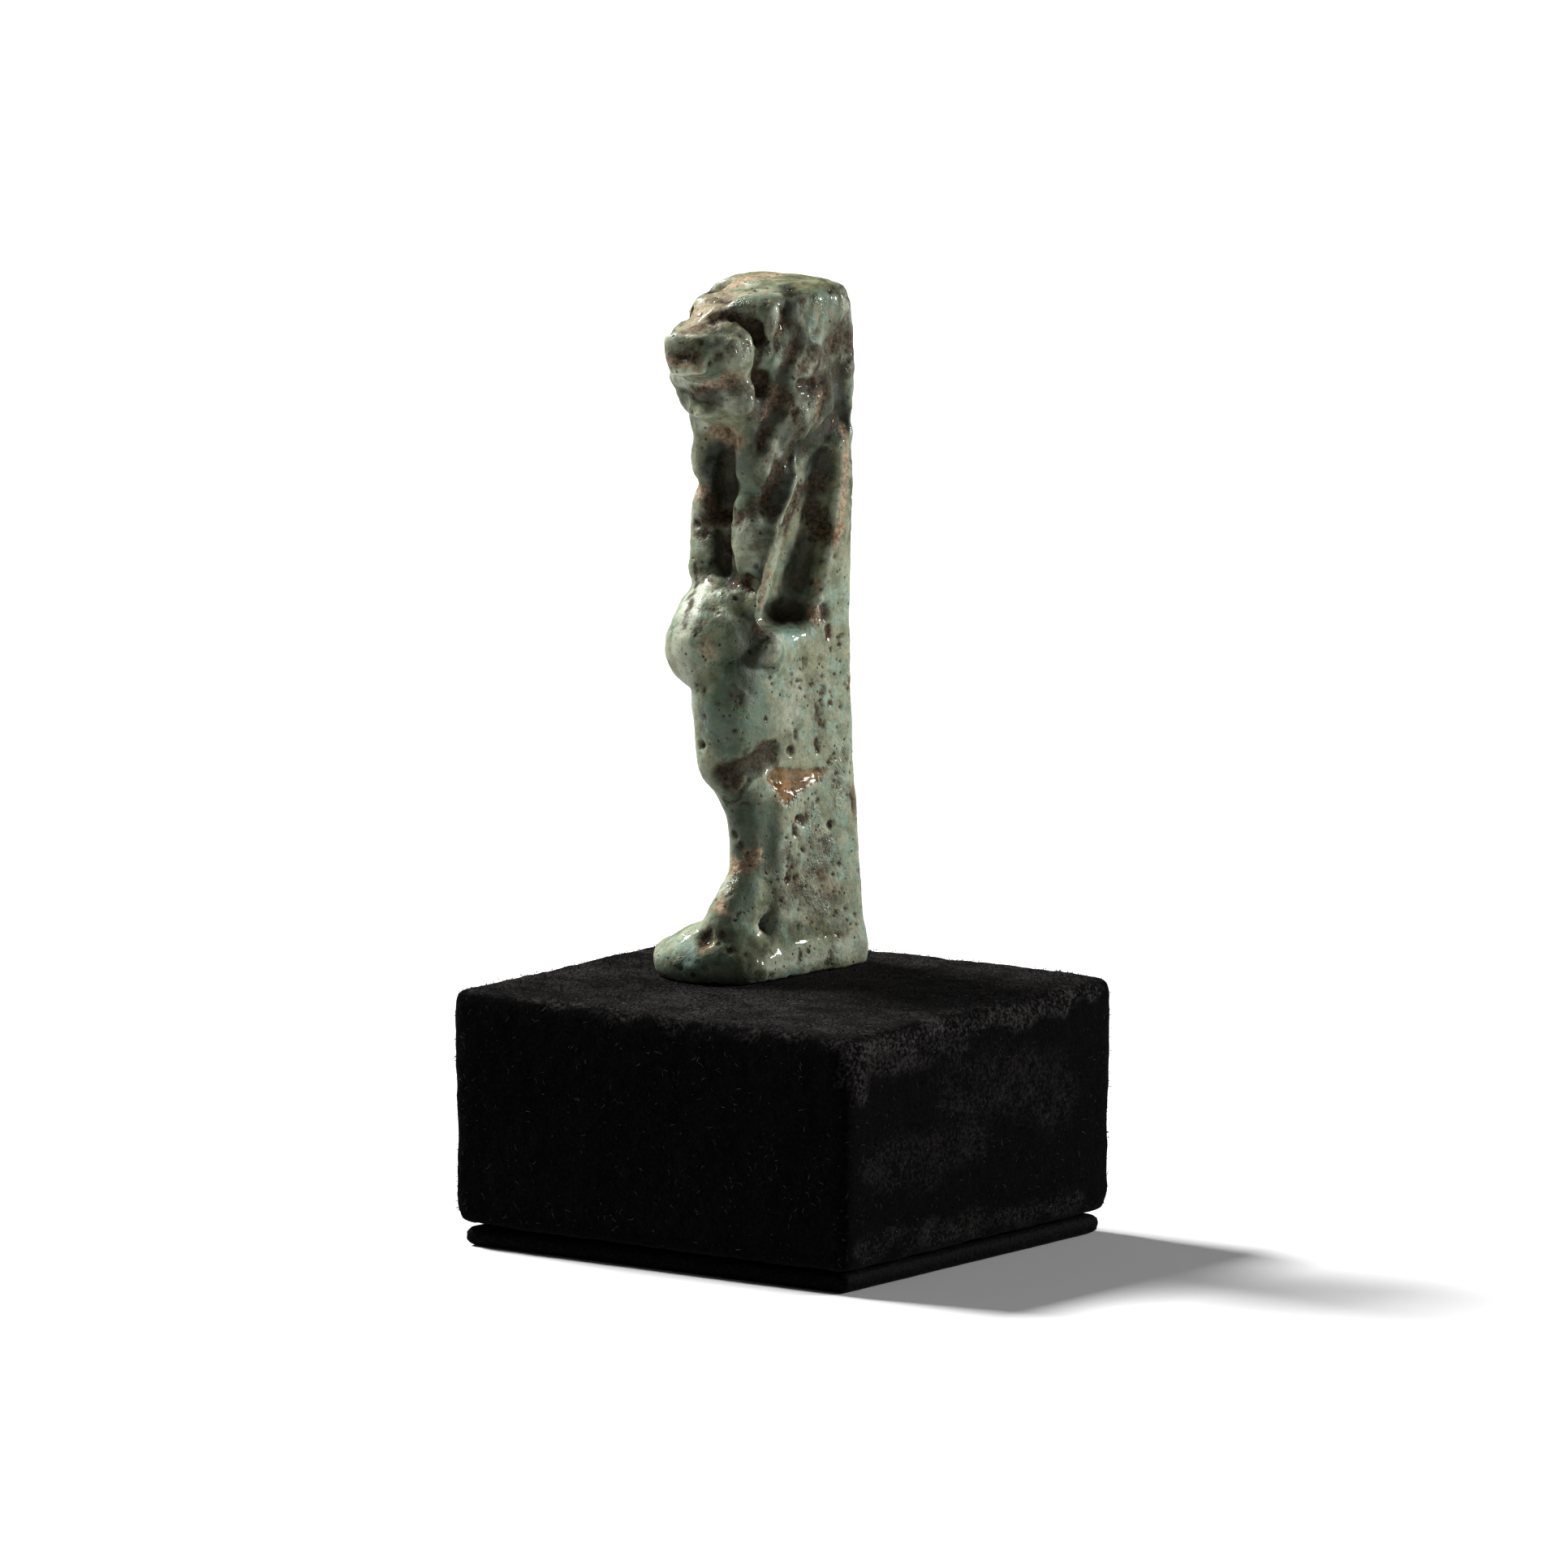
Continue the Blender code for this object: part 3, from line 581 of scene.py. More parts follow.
    (-0.07, 7, "dirt", 0.75, ONE, (1023, 1174, 1019, 1186)),
    (-0.05, 5, "dirt", 0.75, ONE, (988, 1174, 986, 1186)),
    (0, 6, "dirt", 0.5, ONE, (946, 1164, 944, 1174)),
    (-0.1, 4, "dirt", 0.9, ONE, (950, 1202)),
    # painted shade in the step between toe and base
    (-0.06, 13, "dark", 0.6, ONE, (932, 1170, 930, 1200)),
    (0, 9, "dirt", 0.35, BOTH, (974, 1148, 1010, 1147, 1040, 1142)),
    (0, 13, "glaze", 0.5, ONE, (824, 1176, 826, 1192)),
    (0, 14, "pale", 0.7, ONE, (952, 1186, 980, 1180, 1010, 1174, 1040, 1168, 1056, 1160)),
    (0.14, 20, "glaze", 0.3, ONE, (868, 1182, 895, 1190, 915, 1192)),
    (0.1, 18, "pale", 0.4, ONE, (840, 1165, 850, 1150)),
    (0.16, 22, "glaze", 0.2, ONE, (882, 872, 900, 876)),
    (0, 13, "blue", 0.7, ONE, (846, 1172, 852, 1184)),
]

# Crowded small pits: the middle of the patch and its reach in pixels, and how many.
PITTED = [
    (1002, 1068, 34, 30), (976, 1096, 24, 18), (1034, 950, 26, 22), (1000, 1010, 40, 16),
    (1010, 850, 45, 14), (900, 900, 40, 12), (1010, 1150, 40, 12),
]

# The broken glaze chip's outline in pixels.
CHIP_OUTLINE = [
    (946, 958), (956, 945), (976, 948), (994, 948), (1018, 946), (1016, 954),
    (1008, 962), (988, 974), (970, 994), (960, 982), (952, 968),
]

# The lists below hold patches: radius in pixels, amount from 0 to 1 and path.

# Where the plain form is rounder than the solid's.
ROUNDED = [
    (26, 1, (858, 370, 864, 380, 866, 366)),
    (22, 1, (828, 424, 846, 416, 866, 420, 868, 440, 866, 458, 846, 462, 828, 456)),
    (24, 1, (890, 962, 915, 950, 940, 938, 960, 926)),
    (26, 1, (850, 492, 870, 496)),
    (26, 1, (878, 870, 900, 872)),
    (24, 1, (850, 1172, 880, 1180, 910, 1184)),
    (24, 1, (862, 646, 880, 646, 900, 648)),
    (22, 1, (886, 655, 888, 680, 890, 704)),
    (20, 1, (944, 740, 950, 766, 975, 776, 1000, 768)),
    (22, 1, (866, 714, 885, 716, 905, 722)),
    (16, 1, (1010, 545, 1040, 528)),
    (16, 1, (884, 402, 896, 404, 908, 408)),
    (27, 1, (944, 370, 952, 384, 954, 400, 950, 418)),
    (20, 1, (856, 724, 846, 744, 842, 770)),
    (22, 1, (868, 1158)),
    (16, 1, (934, 430, 938, 446)),
    (18, 1, (945, 1180, 980, 1174, 1020, 1168, 1050, 1162)),
    (16, 1, (930, 1150, 938, 1160)),
]

# Where the shaped surface is smoothed again, so that no slit is left.
EASED = [
    (15, 1, (846, 466, 860, 468, 874, 470, 888, 471)),
    (14, 1, (946, 764, 958, 771, 975, 773, 990, 769)),
    (15, 1, (840, 494, 846, 503, 856, 500)),
    (15, 1, (852, 384, 846, 392, 860, 378)),
    (14, 1, (868, 358, 878, 353)),
    (14, 1, (932, 1158, 944, 1168)),
]

# Wet-looking patches with many small facets.
SHINY = [
    (11, 1, (908, 436, 914, 438)), (7, 1, (902, 492, 906, 498)), (6, 1, (930, 495)),
    (6, 1, (1000, 412, 998, 416)), (9, 1, (1012, 376, 1004, 368)), (12, 1, (1043, 374, 1049, 384)),
    (5, 1, (1043, 458)), (6, 1, (1002, 498, 988, 504)), (7, 1, (945, 508, 940, 520)),
    (4, 1, (888, 733)), (5, 1, (889, 757)), (8, 1, (1040, 920, 1034, 945, 1032, 970, 1034, 985)),
    (12, 1, (966, 978, 974, 984, 972, 968)), (9, 1, (1012, 748, 1006, 760)),
    (7, 1, (922, 346, 926, 350)), (6, 1, (917, 372, 908, 379)), (6, 1, (960, 432)),
    (7, 1, (868, 655, 880, 660)), (8, 1, (930, 660, 925, 652)),
    (10, 1, (1000, 1000, 1020, 1050, 990, 1090, 1016, 1120)), (7, 1, (898, 1096, 908, 1080)),
    (5, 1, (835, 1185)),
]

# Where the velvet is painted grey: rubbed wear, and painted sheen along the lit edges.
VELVET_WEAR_AND_SHEEN = [
    (22, 0.9, (1050, 1292, 1120, 1278, 1200, 1260, 1290, 1238, 1350, 1218)),
    (30, 0.5, (1060, 1310, 1120, 1300, 1180, 1284)),
    (22, 0.42, (1060, 1540, 1130, 1524, 1220, 1504, 1330, 1482)),
    (60, 0.28, (1180, 1340, 1250, 1330, 1300, 1350)),
    (46, 0.26, (1080, 1440, 1150, 1430, 1200, 1400)),
    # painted highlight: sheen down the front vertical edge
    (24, 0.8, (1046, 1290, 1050, 1320, 1062, 1340)),
    (60, 0.7, (620, 1210, 700, 1200, 780, 1190)),
    (50, 0.6, (820, 1225, 900, 1240, 980, 1250)),
    (40, 0.4, (1000, 1255, 1100, 1240, 1200, 1225)),
    (30, 0.4, (700, 1170, 780, 1160, 860, 1150)),
    # painted highlight: a row of glints along the front top edge
    (12, 0.7, (562, 1217, 700, 1238, 860, 1262, 1040, 1288)),
]


def inside(outline, x, y):
    """Whether pixels lie within a closed outline."""
    hit = np.zeros(len(x), bool)
    for (x0, y0), (x1, y1) in zip(outline, outline[1:] + outline[:1]):
        if y0 == y1:
            continue
        crossing = (y0 > y) != (y1 > y)
        hit ^= crossing & (x < (x1 - x0) * (y - y0) / (y1 - y0) + x0)
    return hit


def seen_at(points):
    """The reference view's pixels of many points."""
    offset = points - np.array(EYE)
    depth = -offset @ np.array(BACK)
    scale = VIEW_LENS / VIEW_SENSOR * VIEW_PIXELS / depth
    x = VIEW_PIXELS / 2 + offset @ np.array(RIGHT) * scale
    y = VIEW_PIXELS / 2 - offset @ np.array(UP) * scale
    return x, y


def add_paint(paint, name, values):
    paint[name] = np.maximum(paint[name], values)


def worn_casting(plain, normals, facing, paint):
    """Soft swells everywhere and knobbly locks on the wig, with their paint.

    Gives the lift in mm and each point's share of the locks.
    """
    height = (plain[:, 2] - FIGURE_FOOT.z) / MM
    wig = ease(height, 27.5, 30.0)
    locks_share = wig * ease(np.abs(normals[:, 0]), 0.35, 0.7)
    lift = 0.045 * layered(plain, 1.7 * MM, SEED)
    lift += 0.018 * layered(plain, 0.5 * MM, SEED + 9)
    slanted = plain.copy()
    slanted[:, 1] = plain[:, 1] * 1.15 - 0.45 * plain[:, 2]
    slanted[:, 2] = plain[:, 2] * 0.55
    locks = layered(slanted, 0.95 * MM, SEED + 17, 2)
    lift += locks_share * 0.13 * locks
    patches = layered(slanted, 0.75 * MM, SEED + 21)
    lower = 1.0 - ease(height, 31.0, 34.5)
    grime = np.maximum(0.6 * ease(-locks, 0.15, 0.9), 0.75 * ease(patches, 0.25, 0.8))
    add_paint(paint, "dirt", locks_share * grime)
    add_paint(paint, "pale", 0.5 * locks_share * ease(locks, 0.20, 0.9))
    add_paint(paint, "glaze", locks_share * (0.36 + 0.30 * lower + 0.40 * ease(-patches, 0.0, 0.7)))
    sooty = layered(plain, 1.0 * MM, SEED + 25)
    add_paint(paint, "dirt", 0.55 * ease(sooty, 0.75, 1.3))
    away = ease(-facing, -0.1, 0.3)
    stain = layered(plain, 2.6 * MM, SEED + 27)
    add_paint(paint, "dirt", 0.60 * away * ease(stain, 0.55, 1.1))
    add_paint(paint, "olive", 0.72 * wig + 0.35 * ease(height, 19.0, 24.0) * (1.0 - wig))
    add_paint(paint, "olive", 0.6 * away * ease(-stain, 0.1, 0.8))
    return lift, locks_share


def place_marks(plain, ragged, normals, tree, random, lift, paint):
    """Cuts, raises and paints the marks, on both sides where they are paired."""
    for size, radius, name, amount, paired, path in MARKS:
        hits = hits_on(tree, path)
        if not hits:
            continue
        shift = Vector(random.normal(0.0, 0.22, 3)) * MM
        sides = [hits, mirrored(hits, tree, shift)] if paired else [hits]
        widening = PAINT_SPREAD if radius > LARGEST_SMALL_MARK else SMALL_SPREAD
        for side in sides:
            if not side:
                continue
            if size:
                lift += size * DEPTH_SHARE * nearness(plain, normals, side, radius * PIXEL * CUT_SPREAD)
            spread = nearness(ragged, normals, side, radius * PIXEL * widening)
            add_paint(paint, name, amount * np.clip(spread * 1.5, 0.0, 1.0))


def scatter_pits(plain, x, y, front, random, lift, paint):
    """Small dirty pits over the whole glaze, crowded where the photographed ones are."""
    chosen = list(random.choice(len(plain), SCATTERED_PITS, replace=False))
    for middle_x, middle_y, reach, number in PITTED:
        pool = np.nonzero((np.hypot(x - middle_x, y - middle_y) < reach) & front)[0]
        chosen += list(random.choice(pool, number))
    for index in chosen:
        place = plain[index]
        radius = random.uniform(0.10, 0.26) * MM
        near = np.abs(plain - place).max(1) < radius
        gap = ((plain[near] - place) ** 2).sum(1) / radius ** 2
        dent = np.clip(1.0 - gap, 0.0, 1.0) ** 2
        lift[near] -= random.uniform(0.04, 0.13) * dent
        grime = random.uniform(0.4, 1.0) * np.clip(dent * 1.5, 0, 1)
        paint["dirt"][near] = np.maximum(paint["dirt"][near], grime)


def spread_out(values, edges, steps):
    """One number a point, smoothed over its neighbours."""
    return relax(np.stack([values] * 3, 1), edges, steps)[:, 0]


def make_figure():
    piece = dense_copy("amulet", "taweret_amulet", AMULET_CELL)
    mesh = piece.data
    edges = edges_of(mesh)
    plain = relax(points_of(mesh), edges, CASTING_STEPS)
    move_points(mesh, plain)
    rounder = share_near(tree_of(mesh, plain), plain, normals_of(mesh), ROUNDED, 1.8, PATCH_STEP)
    plain = plain + (relax(plain, edges, ROUNDED_STEPS) - plain) * rounder[:, None]
    move_points(mesh, plain)
    normals = normals_of(mesh)
    tree = tree_of(mesh, plain)
    facing = normals @ np.array(BACK)
    front = facing > 0.1
    x, y = seen_at(plain)

    paint = {name: np.zeros(len(plain)) for name in PAINTS}
    lift, locks_share = worn_casting(plain, normals, facing, paint)
    ragged = wavering(plain, 0.21 * MM, 0.55 * MM, SEED + 30)
    random = np.random.default_rng(SEED)
    place_marks(plain, ragged, normals, tree, random, lift, paint)
    add_paint(paint, "shiny", share_near(tree, ragged, normals, SHINY, 1.8, spread=PAINT_SPREAD))
    scatter_pits(plain, x, y, front, random, lift, paint)

    # the chip: sunken and flat, with a sharp rim
    x = x + 1.5 * noise(plain, 0.3 * MM, SEED + 50)
    y = y + 1.5 * noise(plain, 0.3 * MM, SEED + 51)
    chip = (inside(CHIP_OUTLINE, x, y) & front).astype(float)
    paint["chip"] = spread_out(chip, edges, 1)
    chip = spread_out(chip, edges, 3)
    lift -= CHIP_DEPTH * chip
    lift += chip * 0.05 * layered(plain, 0.6 * MM, SEED + 60, 2)

    points = plain + normals * (lift * MM)[:, None]
    eased = share_near(tree, plain, normals, EASED, 2.0, PATCH_STEP)
    points = points + (relax(points, edges, EASED_STEPS) - points) * eased[:, None]
    low, high = (np.array(corner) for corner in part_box("amulet"))
    points = np.clip(points, low, high)

    # hollows get painted shade and some dirt, broad ridges wear to bare body, and ridges are painted lighter
    fine = ((relax(points, edges, 8) - points) * normals).sum(1) / MM
    broad = ((relax(points, edges, 60) - points) * normals).sum(1) / MM
    rubbed = ease(-broad, 0.10, 0.34) * ease(layered(plain, 1.2 * MM, SEED + 28), 0.25, 0.9)
    add_paint(paint, "worn", 0.75 * rubbed)
    deeper = 1.0 + 0.5 * locks_share
    write_mask(mesh, "hollow", (ease(fine, 0.004, 0.045) * 0.6 + ease(broad, 0.02, 0.26) * 0.8) * deeper)
    write_mask(mesh, "ridge", ease(-fine, 0.006, 0.05) * 0.6 + ease(-broad, 0.05, 0.30) * 0.5)
    for name, values in paint.items():
        write_mask(mesh, name, values)
    move_points(mesh, points)
    return piece


# The cloth-covered block and pad.

def scatter(points, normals, pool, count, random):
    """Random places, with normals, near vertices that are picked from the pool of an even mesh."""
    picked = random.choice(pool, count)
    return points[picked] + random.normal(0, 0.06 * MM, (count, 3)), normals[picked]


def spikes(places, normals, random, length, width, lean):
    """Open three-sided tufts as vertex and face lists."""
    count = len(places)
    size = random.uniform(length[0], length[1], count)[:, None] * MM
    girth = random.uniform(width[0], width[1], count)[:, None] * MM
    tip_way = normals + random.normal(0, lean, (count, 3))
    tip_way /= np.linalg.norm(tip_way, axis=1)[:, None]
    side = np.cross(tip_way, random.normal(0, 1, (count, 3)))
    side /= np.linalg.norm(side, axis=1)[:, None]
    other = np.cross(tip_way, side)
    root = places - normals * 0.02 * MM
    corners = [root + girth * (math.cos(a) * side + math.sin(a) * other) for a in THREE_CORNERS]
    tips = root + tip_way * size
    verts = np.stack(corners + [tips], 1).reshape(-1, 3)
    base = np.arange(count)[:, None] * 4
    faces = np.concatenate([base + np.array(f) for f in ((0, 1, 3), (1, 2, 3), (2, 0, 3))], 0)
    return verts, faces


def fibres(places, normals, random, length, width):
    """Loose curved hairs lying on the cloth."""
    verts, faces = [], []
    for place, normal in zip(places, normals):
        normal = Vector(normal)
        way = normal.cross(Vector(random.normal(0, 1, 3))).normalized()
        size = random.uniform(*length) * MM
        girth = random.uniform(*width) * MM
        bend = random.normal(0, 1.3)
        at = Vector(place) + normal * 0.04 * MM
        start = len(verts)
        for step in range(HAIR_STEPS + 1):
            side = way.cross(normal).normalized()
            for angle in THREE_CORNERS:
                ring = side * math.cos(angle) + normal * math.sin(angle)
                verts.append(tuple(at + ring * girth * (0.5 if step in (0, HAIR_STEPS) else 1.0)))
            at = at + way * size / HAIR_STEPS + normal * random.normal(0, 0.012) * MM
            way = (Quaternion(normal, bend / HAIR_STEPS) @ way).normalized()
        for step in range(HAIR_STEPS):
            a = start + step * 3
            for k in range(3):
                n = (k + 1) % 3
                faces.append((a + k, a + n, a + 3 + n, a + 3 + k))
        faces.append((start, start + 2, start + 1))
        end = start + HAIR_STEPS * 3
        faces.append((end, end + 1, end + 2))
    return verts, faces


SPECK_FACES = ((0, 1, 2), (0, 2, 3), (0, 3, 1), (1, 3, 2))


def specks(places, normals, random, size):
    """Tiny uneven grains of dust with four corners."""
    verts, faces = [], []
    for place, normal in zip(places, normals):
        at = place + normal * 0.03 * MM
        start = len(verts)
        grow = random.uniform(*size) * MM
        for _ in range(4):
            way = random.normal(0, 1, 3)
            verts.append(tuple(at + way / np.linalg.norm(way) * grow))
        faces += [tuple(start + k for k in face) for face in SPECK_FACES]
    return verts, faces


def add_loose(piece, groups):
    """Joins extra vertex and face lists, each with its material number, to a piece's mesh."""
    work = bmesh.new()
    work.from_mesh(piece.data)
    for verts, faces, slot in groups:
        made = [work.verts.new(v) for v in verts]
        for face in faces:
            new = work.faces.new([made[int(i)] for i in face])
            new.material_index = slot
            new.smooth = True
    work.to_mesh(piece.data)
    work.free()


def crisper(points, low, high, radius):
    """Draws a rounded box's edges out towards its corners, most at the top and least underneath."""
    core = np.clip(points, low + radius, high - radius)
    out = points - core
    reach = np.maximum(np.linalg.norm(out, axis=1), 1e-9)
    way = out / reach[:, None]
    corner = 1.0 / np.maximum(np.abs(way).max(1), 0.5) - 1.0
    share = np.where(way[:, 2] < -0.1, 0.25, 0.65)
    return core + out * (1.0 + share * corner)[:, None]


def make_velvet():
    piece = dense_copy("plinth_block", "velvet_plinth", VELVET_CELL)
    mesh = piece.data
    edges = edges_of(mesh)
    low, high = (np.array(corner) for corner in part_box("plinth_block"))
    points = crisper(points_of(mesh), low, high, EDGE_RADIUS)
    points = relax(points, edges, 3)
    move_points(mesh, points)
    normals = normals_of(mesh)
    tall = (points[:, 2] - low[2]) / (high[2] - low[2])
    points[:, 2] += 0.30 * MM * ease(tall, 0.6, 1.0) - 0.22 * MM * (1.0 - ease(tall, 0.0, 0.3))
    lift = 0.07 * layered(points, 6.0 * MM, SEED + 80)
    lift += 0.028 * layered(points, 1.3 * MM, SEED + 81)
    lift += 0.030 * noise(points, 0.42 * MM, SEED + 82)
    foot = np.array(FIGURE_FOOT)
    from_foot = np.hypot(points[:, 0] - foot[0], points[:, 1] - foot[1]) / MM
    under = ease(from_foot, 7.5, 4.0) * ease(tall, 0.9, 1.0)
    lift = lift * (1.0 - 0.8 * under)
    points = points + normals * (lift * MM)[:, None]
    ragged = wavering(points, 0.5 * MM, 1.6 * MM, SEED + 70)
    worn = share_near(tree_of(mesh, points), ragged, normals, VELVET_WEAR_AND_SHEEN, 1.6, WEAR_STEP)
    # the whole top face painted grey: painted sheen of the upward-facing nap, in streaks
    top = ease(normals[:, 2], 0.6, 0.95)
    streaked = points * np.array((0.6, 1.6, 1.0))
    worn = np.maximum(worn, top * (0.42 + 0.22 * layered(streaked, 1.6 * MM, SEED + 90)))
    write_mask(mesh, "worn", worn)
    move_points(mesh, points)
    normals = normals_of(mesh)
    random = np.random.default_rng(SEED + 1)
    pool = np.nonzero(normals[:, 2] > -0.5)[0]
    places = scatter(points, normals, pool, NAP_TUFTS, random)
    nap = spikes(*places, random, (0.10, 0.20), (0.018, 0.034), 0.45)
    places = scatter(points, normals, pool, LINT_HAIRS, random)
    hairs = fibres(*places, random, (0.12, 0.46), (0.003, 0.007))
    places = scatter(points, normals, pool, DUST_SPECKS, random)
    dust = specks(*places, random, (0.012, 0.030))
    add_loose(piece, [(*nap, 0), (*hairs, 1), (*dust, 1)])
    return piece


def make_pad():
    piece = dense_copy("base_pad", "plinth_pad", PAD_CELL)
    mesh = piece.data
    edges = edges_of(mesh)
    points = relax(points_of(mesh), edges, 4)
    move_points(mesh, points)
    normals = normals_of(mesh)
    tall = points[:, 2] / PAD_HEIGHT
    around = points[:, 0] - points[:, 1]
    upright = ease(1.0 - np.abs(normals[:, 2]), 0.2, 0.8)
    ribs = np.sin((around + 0.5 * points[:, 2]) / RIB_SPACING * 2.0 * math.pi) * upright
    lift = 0.06 * ribs + 0.05 * layered(points, 3.0 * MM, SEED + 95)
    lift = lift + 0.02 * noise(points, 0.3 * MM, SEED + 96)
    lift = lift * ease(tall, 0.0, 0.25)
    points = points + normals * (lift * MM)[:, None]
    points[:, 2] = np.maximum(points[:, 2], 0.0)
    move_points(mesh, points)
    return piece


# Materials.

class Shader:
    """A material's node tree with short calls for the nodes used here."""

    def __init__(self, name):
        self.material = bpy.data.materials.new(name)
        self.material.use_nodes = True
        self.nodes = self.material.node_tree.nodes
        self.links = self.material.node_tree.links
        self.shader = self.nodes["Principled BSDF"]
        self.place = self.nodes.new("ShaderNodeTexCoord").outputs["Object"]

    def put(self, socket, value):
        if isinstance(value, bpy.types.NodeSocket):
            self.links.new(value, socket)
        else:
            socket.default_value = value

    def make(self, kind, **inputs):
        node = self.nodes.new("ShaderNode" + kind)
        for name, value in inputs.items():
            self.put(node.inputs[name.replace("_", " ")], value)
        return node

    def noise(self, millimetres, detail=3.0, rough=0.55, twist=0.0):
        scale = 1000.0 / millimetres
        node = self.make("TexNoise", Vector=self.place, Scale=scale, Detail=detail, Roughness=rough)
        self.put(node.inputs["Distortion"], twist)
        return node.outputs["Fac"]

    def cells(self, millimetres):
        return self.make("TexVoronoi", Vector=self.place, Scale=1000.0 / millimetres).outputs["Distance"]

    def mask(self, name):
        node = self.make("Attribute")
        node.attribute_name = name
        return node.outputs["Fac"]

    def maths(self, kind, a, b, clamp):
        node = self.make("Math")
        node.operation = kind
        node.use_clamp = clamp
        self.put(node.inputs[0], a)
        self.put(node.inputs[1], b)
        return node.outputs[0]

    def times(self, a, b, clamp=False):
        return self.maths("MULTIPLY", a, b, clamp)

    def plus(self, a, b, clamp=False):
        return self.maths("ADD", a, b, clamp)

    def minus(self, a, b, clamp=False):
        return self.maths("SUBTRACT", a, b, clamp)

    def span(self, value, low, high, to_low=0.0, to_high=1.0):
        node = self.make("MapRange", Value=value, From_Min=low, From_Max=high, To_Min=to_low, To_Max=to_high)
        node.interpolation_type = "SMOOTHSTEP"
        return node.outputs["Result"]

    def blend(self, share, a, b):
        node = self.make("Mix")
        node.data_type = "RGBA"
        self.put(node.inputs[0], share)
        for socket, value in ((node.inputs[6], a), (node.inputs[7], b)):
            self.put(socket, value if isinstance(value, bpy.types.NodeSocket) else (*value, 1.0))
        return node.outputs[2]

    def bump(self, height, depth):
        node = self.make("Bump", Strength=1.0, Distance=depth * MM, Height=height)
        self.links.new(node.outputs["Normal"], self.shader.inputs["Normal"])

    def set(self, **values):
        for name, value in values.items():
            self.put(self.shader.inputs[name.replace("_", " ")], value)


